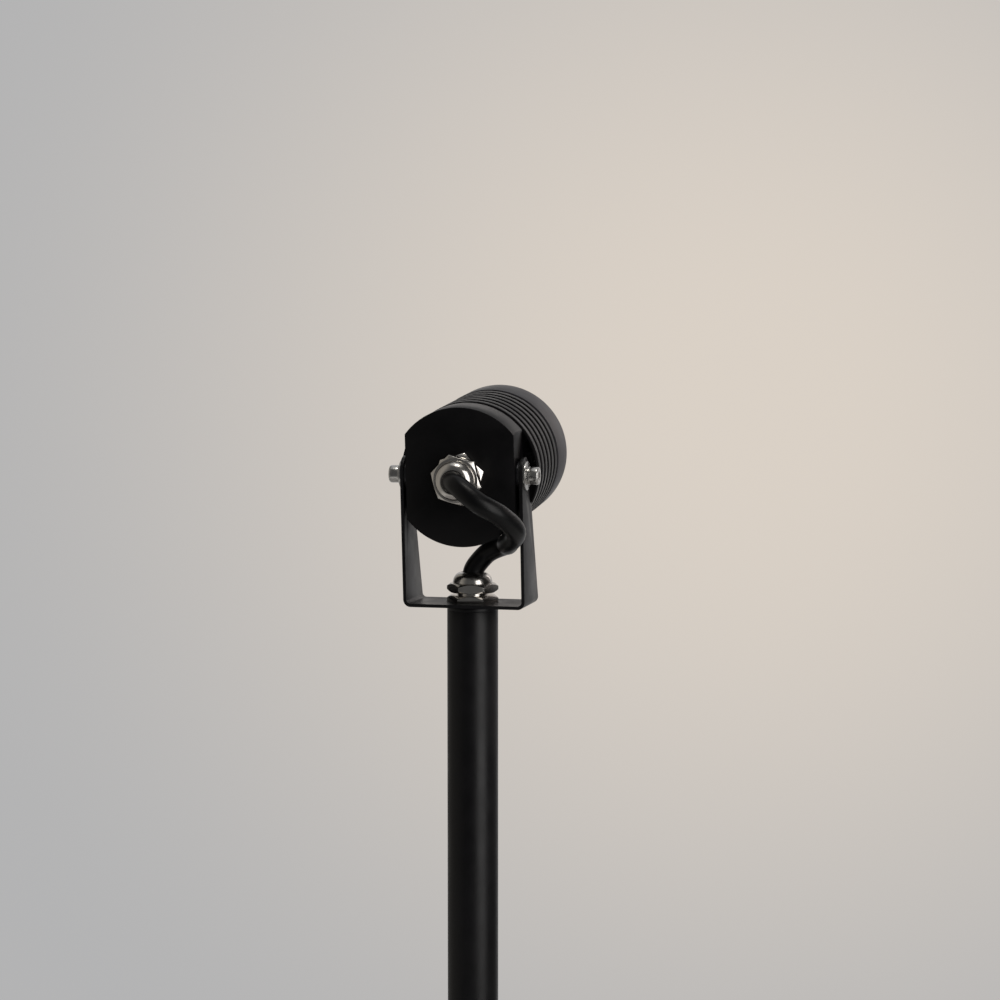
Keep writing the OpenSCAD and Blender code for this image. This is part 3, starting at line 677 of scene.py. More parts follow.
def finish(name):
    """The material of that name, made the first time it is asked for."""
    made = bpy.data.materials.get(name)
    if made:
        return made
    colours = bpy.context.scene.spotlight_colours
    coat, paint, nickel, steel = colours.coat, colours.graphite, colours.nickel, colours.steel
    # The function that makes it, and the values it takes after the name
    make, *values = {
        "Head coat": (coated, coat, 0.40, 1500.0, 0.00003, 0.02, 0.22),
        # The bezel has the head's paint: this seven times lighter, glossier copy of the head coat
        # is painted light
        "Front coat": (coated, lighter(coat, 7), 0.40, 1500.0, 0.00003, 0.02, 0.6),
        "Foot coat": (coated, coat, 0.56, 1100.0, 0.00009, 0.10),
        "Weld": (coated, coat, 0.50, 1100.0, 0.00008, 0.08),
        "Pole paint": (coated, paint, 0.38, 2200.0, 0.00003, 0.0, 0.25),
        "Bracket paint": (coated, paint, 0.38, 1900.0, 0.00003, 0.02, 0.3),
        "Nickel": (plated, nickel, 0.14),
        "Gland dome": (plated, nickel, 0.18),
        "Steel screws": (plated, steel, 0.20, screw_place(1, 0), 0.0003),
        "Steel inside": (plated, steel, 0.28),
        # The hinge spacers are steel: this dark tone is painted shade for the gap between the
        # head's flat and the leg
        "Blackened steel": (plated, (0.045, 0.045, 0.05), 0.34),
        "Raw aluminium": (plated, (0.78, 0.78, 0.79), 0.30, head_place(), 0.0005),
        "Bright reflector": (plated, (0.88, 0.88, 0.89), 0.12, head_place(), 0.0009),
        "Lead rubber": (moulded, colours.rubber, 0.38, 1300.0, 0.00003, 0.25),
        "Seal rubber": (moulded, (0.012, 0.012, 0.012), 0.60),
        "Nylon": (moulded, (0.022, 0.022, 0.022), 0.42),
        "Fibre": (moulded, (0.035, 0.028, 0.022), 0.8, 500.0, 0.00008),
        "Driver case": (moulded, (0.02, 0.02, 0.022), 0.5),
        "Thermal pad": (moulded, (0.18, 0.24, 0.32), 0.7),
        "Board mask": (moulded, (0.82, 0.82, 0.79), 0.28),
        "Phosphor": (moulded, colours.phosphor, 0.35, 2600.0, 0.00004),
        "White plastic": (moulded, (0.80, 0.80, 0.77), 0.42),
        "Core insulation": (moulded, (0.25, 0.05, 0.03), 0.4),
        "Front glass": (clear_glass,),
    }[name]
    return make(name, *values)


# The pieces


class SpotlightMakeFoot(bpy.types.Operator):
    """Turn the foot plate and the welded collar, with their screws and grommet"""

    bl_idname = "spotlight.make_foot"
    bl_label = "Foot"
    bl_options = {"REGISTER", "UNDO"}

    hole = 7.5 * MM
    rim = 1.0 * MM
    collar_bore, collar_radius = 12.55 * MM, 17.5 * MM
    screw_height, screw_turns = 28.4 * MM, (30, 150)
    screw_radius, screw_length, screw_socket = 2.5 * MM, 5 * MM, 2 * MM
    screw_drill = 2.55 * MM
    grommet_bore, grommet_neck = 5.2 * MM, 7.4 * MM
    # Height, reach and half thickness of the weld bead, as shares of its width
    bead_rise, bead_reach, bead_half = 0.30, 0.35, 0.62
    ripples, ripple_scale = 60, (1.012, 1.012, 1.09)

    def execute(self, context):
        sizes = context.scene.spotlight_stand
        radius, _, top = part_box("foot_plate")[1]
        self.plate(sizes, radius, top)
        collar_low, collar_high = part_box("foot_collar")
        self.collar(sizes, collar_low.z, collar_high.z)
        self.weld_bead(self.collar_radius, collar_low.z, sizes.weld_bead)
        screws = [self.grub_screw(turn) for turn in self.screw_turns]
        pair = joined("collar_grub_screws_turned", screws)
        dress(pair, "Steel inside", "stand", "steel", "collar_grub_screws", angle=None)
        self.grommet(top)
        return {"FINISHED"}

    def plate(self, sizes, radius, top):
        """A disc with a turned rim and countersunk anchor holes."""
        edge, hole, anchor = 0.5 * MM, self.hole, sizes.anchor_hole / 2
        outline = [
            (hole, 0), (radius - edge, 0), (radius, edge), (radius, top - self.rim),
            (radius - self.rim, top), (hole, top),
        ]
        plate = turned("foot_plate_disc", outline, 192)
        over = top + 0.2 * MM
        bit = [
            (0, -MM), (anchor, -MM), (anchor, top - 0.4 * MM), (anchor + 0.6 * MM, over),
            (0, over),
        ]
        for index in range(sizes.anchor_count):
            angle = math.tau * (index + 0.5) / sizes.anchor_count
            drill = turned("anchor_drill", bit, 64, ring=False)
            out = Matrix.Translation((sizes.anchor_circle / 2, 0, 0))
            place(drill, Matrix.Rotation(angle, 4, "Z") @ out)
            carve(plate, drill)
        dress(plate, "Foot coat", "stand", "foot_paint", "foot_plate", soft=(0.15 * MM,))

    def collar(self, sizes, low, high):
        """A sleeve with the two threaded holes of its screws."""
        outline = sleeve(self.collar_bore, self.collar_radius, low, high)
        collar = turned("foot_collar_sleeve", outline)
        for turn in self.screw_turns:
            drill = round_bar("collar_drill", self.screw_drill, 0, 2 * self.collar_radius, 48)
            place(drill, self.screw_way(turn, 0))
            carve(collar, drill)
        soft = (sizes.soft_edge,)
        dress(collar, "Foot coat", "stand", "foot_paint", "foot_collar", soft=soft)

    def screw_way(self, turn, out):
        """Puts +Z along a screw's way out of the pole."""
        return (
            Matrix.Rotation(math.radians(turn), 4, "Z")
            @ Matrix.Translation((out, 0, self.screw_height))
            @ Matrix.Rotation(math.pi / 2, 4, "Y")
        )

    def weld_bead(self, radius, low, width):
        """A ring of weld sunk in the corner, with the ripples that a hand-fed bead has."""
        deselect()
        height = low + self.bead_rise * width
        bpy.ops.mesh.primitive_torus_add(
            major_radius=radius + self.bead_reach * width,
            minor_radius=self.bead_half * width,
            major_segments=self.ripples * 3,
            minor_segments=16,
            location=(0, 0, height),
        )
        bead = bpy.context.object
        bead.name = "foot_weld_bead"
        place(bead, Matrix.Identity(4))
        edit(bead)
        third = math.tau / self.ripples / 3
        pick_points(bead, lambda at: round(math.atan2(at.co.y, at.co.x) / third) % 3 == 0)
        bpy.ops.transform.resize(value=self.ripple_scale, center_override=(0, 0, height))
        close_up(bead)
        dress(bead, "Weld", "stand", "foot_paint", angle=40)

    def grub_screw(self, turn):
        """A short screw with a point and a hexagonal socket, in its hole."""
        radius, end = self.screw_radius, self.screw_length
        outline = [
            (0, 0), (radius - 0.4 * MM, 0), (radius, 0.4 * MM), (radius, end - 0.4 * MM),
            (radius - 0.3 * MM, end), (0, end),
        ]
        screw = turned("grub_screw", outline, 48, ring=False)
        carve(screw, hex_bar("socket", self.screw_socket, end / 2, end + MM))
        shade(screw)
        place(screw, self.screw_way(turn, POLE_HIGH.x))
        return screw

    def grommet(self, top):
        """A rubber sleeve whose lip lies on the plate."""
        low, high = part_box("foot_grommet")
        bore, neck, edge = self.grommet_bore, self.grommet_neck, 0.5 * MM
        outline = [
            (bore, low.z + 0.4 * MM), (bore + 0.4 * MM, low.z), (neck, low.z), (neck, top),
            (high.x, top), (high.x, high.z - edge), (high.x - edge, high.z), (bore, high.z),
        ]
        grommet = turned("foot_grommet_moulded", outline, 64)
        dress(grommet, "Seal rubber", "stand", "rubber", "foot_grommet")


class SpotlightMakePole(bpy.types.Operator):
    """Turn the pole tube, the plug in its top and the washer on it"""

    bl_idname = "spotlight.make_pole"
    bl_label = "Pole"
    bl_options = {"REGISTER", "UNDO"}

    gland_hole = 8.05 * MM
    plug_bore, plug_web, plug_play = 10 * MM, 5 * MM, 0.05 * MM

    def execute(self, context):
        outer, hole = POLE_HIGH.x, self.gland_hole
        inner = outer - context.scene.spotlight_stand.pole_wall
        tube = turned("pole_tube_drawn", sleeve(inner, outer, POLE_LOW.z, POLE_HIGH.z))
        dress(tube, "Pole paint", "stand", "pole_paint", "pole_tube", soft=(0.2 * MM,))

        low, top = (corner.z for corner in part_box("pole_plug"))
        web, skirt = top - self.plug_web, inner - self.plug_play
        bore, edge = self.plug_bore, 0.5 * MM
        outline = [
            (hole, top), (hole, web), (bore, web), (bore, low), (skirt, low),
            (skirt, POLE_HIGH.z), (outer, POLE_HIGH.z), (outer, top - edge), (outer - edge, top),
        ]
        plug = turned("pole_plug_turned", outline)
        dress(plug, "Pole paint", "stand", "pole_paint", "pole_plug", soft=(0.12 * MM,))

        outline = sleeve(hole, SWIVEL_HIGH.x, SWIVEL_LOW.z, SWIVEL_HIGH.z)
        washer = turned("swivel_washer_cut", outline)
        dress(washer, "Fibre", "stand", "fibre", "swivel_washer")
        return {"FINISHED"}


class SpotlightMakeBracket(bpy.types.Operator):
    """Bend the U bracket from one strip of sheet and drill it"""

    bl_idname = "spotlight.make_bracket"
    bl_label = "Bracket"
    bl_options = {"REGISTER", "UNDO"}

    gland_hole, screw_hole = 8.1 * MM, 2.55 * MM
    base_rear, ear_rise = -18.3 * MM, 1.5 * MM
    # How far a blank or a cutter reaches past the bracket
    past = 5 * MM

    def execute(self, context):
        sizes = context.scene.spotlight_stand
        strip = self.bent_strip(sizes)
        carve(strip, self.leg_blank(sizes), "INTERSECT")
        low, high = SWIVEL_LOW.z - self.past, BASE_LOW.z + 9 * MM
        carve(strip, round_bar("gland_drill", self.gland_hole, low, high, 96))
        pin = round_bar("hinge_drill", self.screw_hole, -50 * MM, 50 * MM, 48)
        place(pin, Matrix.Translation(HINGE) @ Matrix.Rotation(math.pi / 2, 4, "Y"))
        carve(strip, pin)
        close_up(strip)
        soft = (sizes.soft_edge, 3, 40)
        dress(
            strip, "Bracket paint", "bracket", "bracket_paint", "u_bracket", soft=soft, angle=32
        )
        return {"FINISHED"}

    def bent_strip(self, sizes):
        """The strip seen along Y: a leg, a bend, the base, a bend and a leg."""
        half, low, high = BASE_HIGH.x, BASE_LOW.z, BASE_HIGH.z + self.past
        outer, inner = sizes.bend, sizes.bend - sizes.sheet
        centre = (half - outer, low + outer)
        side = [(half, high), *arc(centre, outer, 0, -90, 10)]
        back = [*arc(centre, inner, -90, 0, 10), (half - sizes.sheet, high)]
        outline = (
            side
            + [(-x, z) for x, z in reversed(side)]
            + [(-x, z) for x, z in reversed(back)]
            + back
        )
        near, far = BASE_LOW.y - self.past, BASE_HIGH.y + self.past
        return prism("u_bracket_bent", [(x, near, z) for x, z in outline], (0, far - near, 0))

    def leg_blank(self, sizes):
        """Both legs' outline from the side, a block across the whole bracket."""
        top = (HINGE.y, HINGE.z + self.ear_rise)
        foot_z, low = SWIVEL_HIGH.z + sizes.sheet, BASE_LOW.z - self.past
        rear, front = (self.base_rear, foot_z), (BASE_HIGH.y, foot_z)

        def touch(corner, side):
            """The angle at which an edge from the corner touches the rounded top."""
            y, z = corner[0] - top[0], corner[1] - top[1]
            return math.degrees(
                math.atan2(z, y) + side * math.acos(sizes.ear / math.hypot(y, z))
            )

        start, end = touch(front, 1), touch(rear, -1)
        crown = arc(top, sizes.ear, start, end + 360 if end < start else end, 24)
        outline = [*crown, rear, (rear[0], low), (front[0], low), front]
        reach = 2 * BASE_HIGH.x
        return prism("leg_blank", [(-reach, y, z) for y, z in outline], (2 * reach, 0, 0))


class SpotlightMakeGlands(bpy.types.Operator):
    """Turn one cable gland and put a copy on the head and on the bracket"""

    bl_idname = "spotlight.make_glands"
    bl_label = "Glands"
    bl_options = {"REGISTER", "UNDO"}

    hex_height, neck_height = 3.2 * MM, 1.3 * MM
    cap_hex_height, dome_height, dome_steps = 4.5 * MM, 5.5 * MM, 14
    chamfer = 1.5 * MM
    pitch, thread_depth = 1.5 * MM, 0.6 * MM

    def execute(self, context):
        sizes = context.scene.spotlight_fittings
        # Body, place, thread's length, and the turns of the two hexagons
        glands = {
            "lower": ("bracket", lower_gland_place(), 13.3 * MM, 8, 10),
            "rear": ("head", rear_gland_place(), 7 * MM, 16, 45),
        }
        for name, (body, at, thread, hex_turn, cap_turn) in glands.items():
            part = self.gland_body(sizes, thread, math.radians(hex_turn))
            part.name = name + "_gland_body_turned"
            dress(part, "Nickel", body, "nickel", name + "_gland_body", angle=None, at=at)
            cap = self.cap_nut(sizes, math.radians(cap_turn))
            cap.name = name + "_cap_nut_turned"
            dress(cap, "Gland dome", body, "nickel", name + "_cap_nut", angle=None, at=at)
            seal = turned(name + "_gland_seal_moulded", self.seal(sizes), 64)
            dress(seal, "Seal rubber", body, "rubber", name + "_gland_seal", at=at)
        return {"FINISHED"}

    def hexagon(self, sizes, low, high, turn, both_ends):
        """A hexagon whose corners are turned down, which leaves arcs on its flats."""
        flat = sizes.across_flats / 2
        end, past = flat - 0.2 * MM, flat / math.cos(math.pi / 6) + 0.1 * MM
        foot = [(0, low), (end, low)] if both_ends else [(0, low - MM), (past, low - MM)]
        nut = hex_bar("nut", sizes.across_flats, low, high, turn)
        crown = [(past, low + self.chamfer), (past, high - self.chamfer), (end, high), (0, high)]
        carve(nut, turned("nut_cone", foot + crown, 96, ring=False), "INTERSECT")
        soften(nut, 0.12 * MM, 2, 24)
        return nut

    def gland_body(self, sizes, thread, turn):
        """Hexagon, bare neck and thread."""
        barrel, bore = sizes.thread / 2, sizes.lead / 2 + 0.3 * MM
        neck, root, top_r = barrel - 0.5 * MM, barrel - self.thread_depth, barrel - 0.1 * MM
        neck_top = self.hex_height + self.neck_height
        barrel_top = neck_top + self.cap_hex_height + MM
        nut = self.hexagon(sizes, 0, self.hex_height, turn, False)
        core, z, pitch = [(bore, -thread), (root, -thread)], -thread, self.pitch
        while z < -pitch * 0.7:
            core += [
                (barrel, z + 0.35 * pitch), (barrel, z + 0.5 * pitch), (root, z + 0.9 * pitch),
            ]
            z += pitch
        core += [
            (neck, 0.2 * MM), (neck, neck_top - 0.3 * MM), (top_r, neck_top + 0.1 * MM),
            (top_r, barrel_top), (bore, barrel_top),
        ]
        drill = round_bar("gland_drill", neck - 0.4 * MM, -MM, self.hex_height + MM)
        carve(nut, drill)
        stem = turned("gland_stem", core, 64)
        shade(nut, 24)
        shade(stem, 24)
        return joined("gland_body", [nut, stem])

    def cap_nut(self, sizes, turn):
        """Hexagon and round dome, with the mouth that the lead comes out of."""
        low = self.hex_height + self.neck_height
        top = low + self.cap_hex_height
        dome, mouth = sizes.dome / 2, sizes.lead / 2 + 0.4 * MM
        bore, foot, lip = sizes.thread / 2 + 0.05 * MM, top + 0.3 * MM, 0.5 * MM
        nut = self.hexagon(sizes, low, top, turn, True)
        carve(nut, round_bar("cap_drill", bore, low - MM, top + MM))
        wide, tall = self.dome_height - 0.8 * MM, top + self.dome_height - foot
        end = math.acos((mouth + lip - dome + wide) / wide)
        steps = [end * k / self.dome_steps for k in range(self.dome_steps + 1)]
        crown = [(dome - wide + wide * math.cos(a), foot + tall * math.sin(a)) for a in steps]
        outline = [
            (bore, low + 0.4 * MM),
            (bore + 0.6 * MM, low + 0.4 * MM),
            (dome - 0.9 * MM, top - 0.2 * MM),
            (dome - 0.4 * MM, top - 0.2 * MM),
            (dome - 0.4 * MM, top + 0.08 * MM),
            (dome - 0.12 * MM, top + 0.14 * MM),
            *crown,
            *arc((mouth + lip, crown[-1][1] - lip), lip, 100, 180, 5),
            (mouth, top + 3.7 * MM),
            (bore, top + 1.3 * MM),
        ]
        shell = turned("cap_dome", outline, 96)
        shade(nut, 24)
        shade(shell, 35)
        return joined("cap_nut", [nut, shell])

    def seal(self, sizes):
        """Outline of the rubber seal, whose end shows as a dark ring in the mouth."""
        inner, rim, edge = sizes.lead / 2 + 0.05 * MM, sizes.thread / 2 - 0.1 * MM, 0.3 * MM
        low = self.hex_height + self.neck_height + self.cap_hex_height + MM
        top = low + 2.3 * MM
        return [
            (inner, low), (rim, low), (rim, low + edge), (inner + 0.55 * MM, top),
            (inner + edge, top), (inner, low + edge),
        ]


class SpotlightMakeHinge(bpy.types.Operator):
    """Turn the hinge screws and their washers, discs and spacers"""

    bl_idname = "spotlight.make_hinge"
    bl_label = "Hinge screws"
    bl_options = {"REGISTER", "UNDO"}

    washer_thick, spring_thick = 1 * MM, 1.2 * MM
    head_height, shank_length = 4.5 * MM, 10 * MM
    head_round = (0.5 * MM, 1.2 * MM)
    split_width, split_lean = 0.6 * MM, 35

    def execute(self, context):
        sizes = context.scene.spotlight_fittings
        leg_out = BASE_HIGH.x
        leg_in = leg_out - context.scene.spotlight_stand.sheet
        flat = context.scene.spotlight_head.flats / 2
        thick, spring, washer = self.washer_thick, self.spring_thick, sizes.washer / 2
        gap, disc = leg_in - flat - thick, washer - 0.3 * MM
        split = sizes.screw_head / 2 + 0.2 * MM
        # Finish, slot, distance from the middle, thickness, radius and play on the screw
        rings = {
            "flat_washers": ("Steel screws", "steel", leg_out, thick, washer, 0.05 * MM),
            "friction_discs": ("Nylon", "nylon", flat + thick, gap, disc, 0.05 * MM),
            # The spacers are steel; their dark tone is painted shade between the flat and the leg
            "hinge_spacers": ("Blackened steel", "dark_steel", flat, thick, washer, 0.05 * MM),
            "spring_washers": ("Steel screws", "steel", leg_out + thick, spring, split, 0.1 * MM),
        }
        for node, (look, slot, start, high, radius, play) in rings.items():
            name = node + "_turned"
            ring = turned(name, sleeve(sizes.screw / 2 + play, radius, 0, high), 64)
            if node == "spring_washers":
                self.split(ring, sizes.screw / 2, high / 2)
            soften(ring, 0.12 * MM)
            shade(ring)
            self.set_pair(name, ring, start, look, slot, node)
        screw = self.socket_screw(sizes)
        seat = leg_out + thick + spring
        self.set_pair("hinge_screws_turned", screw, seat, "Steel screws", "steel", "hinge_screws")
        return {"FINISHED"}

    def set_pair(self, name, piece, out, look, slot, node):
        """One of a piece on each side of the head, at that distance from the middle."""
        twin = copied(piece, screw_place(-1, out))
        place(piece, screw_place(1, out))
        dress(joined(name, [piece, twin]), look, "head", slot, node, angle=None)

    def split(self, ring, inner, middle):
        """Cuts a spring washer open on a slant."""
        half = self.split_width / 2
        low, high = (inner - 2 * MM, -half, -2 * MM), (inner + 4 * MM, half, 3 * MM)
        saw = box_bar("split", low, high)
        lean = Matrix.Rotation(math.radians(self.split_lean), 4, "X")
        up, down = (Matrix.Translation((0, 0, z)) for z in (middle, -middle))
        place(saw, up @ lean @ down)
        carve(ring, saw)

    def socket_screw(self, sizes):
        """A screw with a round head and a hexagonal socket, its seat at zero."""
        radius, height, shank = sizes.screw_head / 2, self.head_height, sizes.screw / 2
        end, (wide, tall) = -self.shank_length, self.head_round
        crown = [
            (radius + wide * (math.cos(a) - 1), height + tall * (math.sin(a) - 1))
            for a in [math.radians(15 * k) for k in range(7)]
        ]
        outline = [
            (0, end), (shank - 0.4 * MM, end), (shank, end + 0.4 * MM), (shank, 0), (radius, 0),
            *crown, (0, height),
        ]
        screw = turned("socket_screw", outline, 96, ring=False)
        carve(screw, hex_bar("socket", sizes.socket, height / 2, height + MM))
        soften(screw, 0.08 * MM, 2, 40)
        shade(screw)
        return screw


class SpotlightMakeHousing(bpy.types.Operator):
    """Turn the finned head, mill its two flats and drill it"""

    bl_idname = "spotlight.make_housing"
    bl_label = "Head housing"
    bl_options = {"REGISTER", "UNDO"}

    neck_radius = 28.3 * MM
    rear_wall, groove_wall, shoulder = 4.5 * MM, 3 * MM, 6 * MM
    gland_hole, screw_hole, screw_reach = 8.05 * MM, 2.55 * MM, 22.1 * MM

    def execute(self, context):
        sizes = context.scene.spotlight_head
        housing = turned("head_housing_turned", self.outline(sizes), 192, ring=False)
        for side in (-1, 1):
            near, far = side * sizes.flats / 2, side * sizes.fin
            low = (min(near, far), -sizes.fin, REAR - MM)
            high = (max(near, far), sizes.fin, FLAT_FRONT)
            carve(housing, box_bar("flat_mill", low, high))
            pin = round_bar("screw_drill", self.screw_hole, self.screw_reach, 40 * MM, 48)
            place(pin, Matrix.Rotation(side * math.pi / 2, 4, "Y"))
            carve(housing, pin)
        carve(housing, round_bar("gland_drill", self.gland_hole, REAR - MM, -2 * MM, 96))
        close_up(housing)
        dress(
            housing, "Head coat", "head", "head_paint", "head_housing",
            soft=(0.28 * MM, 2, 40), angle=30, at=head_place(),
        )
        return {"FINISHED"}

    def outline(self, sizes):
        """Radius and place along the axis, from the rear wall forwards and back inside."""
        rear_r, fin_r, neck_r = sizes.rear / 2, sizes.fin / 2, self.neck_radius
        floor_r = fin_r - sizes.groove_depth
        bore_r = floor_r - self.groove_wall
        chamber_r, wall = bore_r - self.shoulder, REAR + self.rear_wall
        points = [
            (0, REAR), (rear_r, REAR), (rear_r, FLAT_FRONT), (neck_r, FLAT_FRONT),
            (neck_r, FIRST_FIN),
        ]
        pitch = sizes.fin_width + sizes.groove_width
        for index in range(sizes.groove_count):
            start = FIRST_FIN + index * pitch
            end = start + sizes.fin_width
            points += [(fin_r, start), (fin_r, end), (floor_r, end), (floor_r, start + pitch)]
        return points + [
            (floor_r, SPIGOT_END), (bore_r, SPIGOT_END), (bore_r, SHOULDER),
            (chamber_r, SHOULDER), (chamber_r, wall), (0, wall),
        ]


class SpotlightMakeFront(bpy.types.Operator):
    """Turn the bezel, the front glass and its gasket"""

    bl_idname = "spotlight.make_front"
    bl_label = "Front"
    bl_options = {"REGISTER", "UNDO"}

    gasket, gasket_bore = 1.5 * MM, 25.8 * MM
    proud, play = 0.2 * MM, 0.05 * MM
    rim_round, lip_edge = 0.9 * MM, 0.6 * MM

    def execute(self, context):
        sizes, at = context.scene.spotlight_head, head_place()
        floor_r = sizes.fin / 2 - sizes.groove_depth
        outer, seat, window = sizes.fin / 2 + self.proud, floor_r + self.play, floor_r - sizes.lip
        low = SPIGOT_END + self.gasket
        high = low + sizes.glass
        rim, edge = self.rim_round, self.lip_edge
        outline = [
            (seat, BEZEL_START),
            (outer, BEZEL_START),
            (outer, FRONT - 0.5 * MM),
            *arc((outer - rim, FRONT - rim), rim, 10, 90, 5),
            (window + FRONT - high - edge, FRONT),
            (window, high + edge),
            (window, high),
            (seat, high),
        ]
        bezel = turned("front_bezel_turned", outline, 192)
        # The bezel gets the lighter copy of the head coat, which is painted light
        dress(
            bezel, "Front coat", "head", "head_paint", "front_bezel",
            soft=(0.3 * MM, 2, 35), angle=30, at=at,
        )

        edge = 0.5 * MM
        outline = [
            (0, low), (floor_r - edge, low), (floor_r, low + edge), (floor_r, high - edge),
            (floor_r - edge, high), (0, high),
        ]
        glass = turned("front_glass_cut", outline, ring=False)
        dress(glass, "Front glass", "head", "glass", "front_glass", at=at)

        outline = sleeve(self.gasket_bore, floor_r, SPIGOT_END, low)
        gasket = turned("glass_gasket_cut", outline, 96)
        dress(
            gasket, "Seal rubber", "head", "rubber", "glass_gasket", soft=(0.2 * MM,), at=at
        )
        return {"FINISHED"}


class SpotlightMakeLamp(bpy.types.Operator):
    """Spin the reflector and make the emitter and its holder"""

    bl_idname = "spotlight.make_lamp"
    bl_label = "Lamp"
    bl_options = {"REGISTER", "UNDO"}

    board_top, holder_height = 27.1 * MM, 3 * MM
    neck, mouth, wall = 8.8 * MM, 25 * MM, 1 * MM
    rim, rim_thick = 26.4 * MM, 1.2 * MM
    emitter, emitter_height = 8.5 * MM, 1 * MM
    holder_bore, holder_seat, holder = 8.6 * MM, 9.95 * MM, 14 * MM

    def execute(self, context):
        at, low = head_place(), self.board_top
        neck, wall = self.neck, self.wall
        seat, flange = low + self.holder_height, SPIGOT_END - self.rim_thick
        outline = [
            (neck, seat - MM),
            (neck + wall, seat - MM),
            (neck + wall, seat),
            *self.bowl(neck + wall, self.mouth + wall, seat, flange),
            (self.rim, flange),
            (self.rim, SPIGOT_END),
            *reversed(self.bowl(neck, self.mouth, seat - 0.5 * MM, SPIGOT_END)),
        ]
        reflector = turned("reflector_spun", outline, 120)
        dress(
            reflector, "Bright reflector", "head", "bright_reflector", "reflector",
            angle=20, at=at,
        )

        radius, top = self.emitter, low + self.emitter_height
        outline = [
            (0, low), (radius, low), (radius, top - 0.3 * MM), (radius - 0.4 * MM, top), (0, top),
        ]
        emitter = turned("lamp_emitter_cast", outline, 64, ring=False)
        dress(emitter, "Phosphor", "head", "emitter", "lamp_emitter", at=at)

        bore, ledge, outer, edge = self.holder_bore, self.holder_seat, self.holder, 0.6 * MM
        outline = [
            (bore, low), (outer, low), (outer, seat - edge), (outer - edge, seat),
            (ledge, seat), (ledge, seat - MM), (bore, seat - MM),
        ]
        holder = turned("lamp_holder_moulded", outline, 64)
        dress(
            holder, "White plastic", "head", "white_plastic", "lamp_holder",
            soft=(0.15 * MM,), at=at,
        )
        return {"FINISHED"}

    def bowl(self, neck, mouth, low, high):
        """A wall that opens from the neck to the mouth in a flat curve."""
        count, bulge = 14, 0.86
        return [
            (neck + (mouth - neck) * (k / count) ** bulge, low + (high - low) * (k / count))
            for k in range(1, count + 1)
        ]


class SpotlightMakeLead(bpy.types.Operator):
    """Sweep the rubber lead from the rear gland to the lower gland"""

    bl_idname = "spotlight.make_lead"
    bl_label = "Lead"
    bl_options = {"REGISTER", "UNDO"}

    # The free stretch above the bracket's base, in millimetres
    free = (
        (2, -48, 61.5),
        (7.5, -57, 60),
        (17.5, -60.5, 53),
        (26.5, -55, 47),
        (31, -42, 38.5),
        (23.5, -25.5, 31),
        (19, -8, 29),
        (8.5, -1, 24.5),
        (2.5, 0, 18.5),
    )
    mouth, hidden, halfway = 14.5 * MM, 9 * MM, 5 * MM

    def execute(self, context):
        diameter = context.scene.spotlight_fittings.lead
        base_z = lower_gland_place().translation.z
        out, low = rear_gland_place(), base_z + self.mouth
        rear = [out @ Vector((0, 0, self.mouth - s)) for s in (self.hidden, self.halfway, 0)]
        loose = [Vector((x, y, z)) * MM + Vector((0, 0, base_z)) for x, y, z in self.free]
        pole = [
            Vector((0.3 * MM, 0, low)),
            Vector((0, 0, low - self.halfway)),
            Vector((0, 0, low - self.hidden)),
        ]
        route = self.smooth(rear + loose + pole, 8)
        lead = self.tube(route, diameter)
        dress(lead, "Lead rubber", None, "rubber", "connection_lead", angle=50)
        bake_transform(lead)

        lead_low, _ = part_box("connection_lead")
        in_pole = self.core("lead_in_pole", diameter, lead_low.z, low - self.hidden)
        dress(in_pole, "Lead rubber", "bracket", "rubber")
        in_head = self.core("lead_in_head", diameter, -8 * MM, self.mouth - self.hidden)
        dress(in_head, "Lead rubber", "head", "rubber", at=out)
        return {"FINISHED"}

    def core(self, name, diameter, low, high):
        """A straight stretch of the lead inside the pole or the head."""
        radius, edge = diameter / 2, 0.3 * MM
        outline = [(0, low), (radius - edge, low), (radius, low + edge), (radius, high), (0, high)]
        return turned(name, outline, 48, ring=False)

    def smooth(self, points, steps):
        """A curve that passes each point in the direction of its two neighbours."""
        curve = []
        last = len(points) - 1
        for i in range(last):
            a, b = points[max(i - 1, 0)], points[i]
            c, d = points[i + 1], points[min(i + 2, last)]
            reach = (c - b).length
            leave, arrive = (c - a).normalized() * reach, (d - b).normalized() * reach
            for k in range(steps):
                t = k / steps
                curve.append(
                    b * (2 * t**3 - 3 * t**2 + 1)
                    + leave * (t**3 - 2 * t**2 + t)
                    + c * (3 * t**2 - 2 * t**3)
                    + arrive * (t**3 - t**2)
                )
        return [*curve, points[last]]

    def tube(self, route, diameter):
        """A round tube along the route, made from a curve and closed at both ends."""
        deselect()
        bpy.ops.curve.primitive_bezier_curve_add()
        line = bpy.context.object
        line.name = "connection_lead_rubber"
        line.data.splines.clear()
        spline = line.data.splines.new("POLY")
        spline.points.add(len(route) - 1)
        for point, at in zip(spline.points, route, strict=True):
            point.co = (*at, 1.0)
        line.data.dimensions = "3D"
        line.data.bevel_depth = diameter / 2
        line.data.bevel_resolution = 10
        line.data.use_fill_caps = True
        choose(line)
        bpy.ops.object.convert(target="MESH")
        tube = bpy.context.object
        place(tube, Matrix.Identity(4))
        close_up(tube)
        return tube


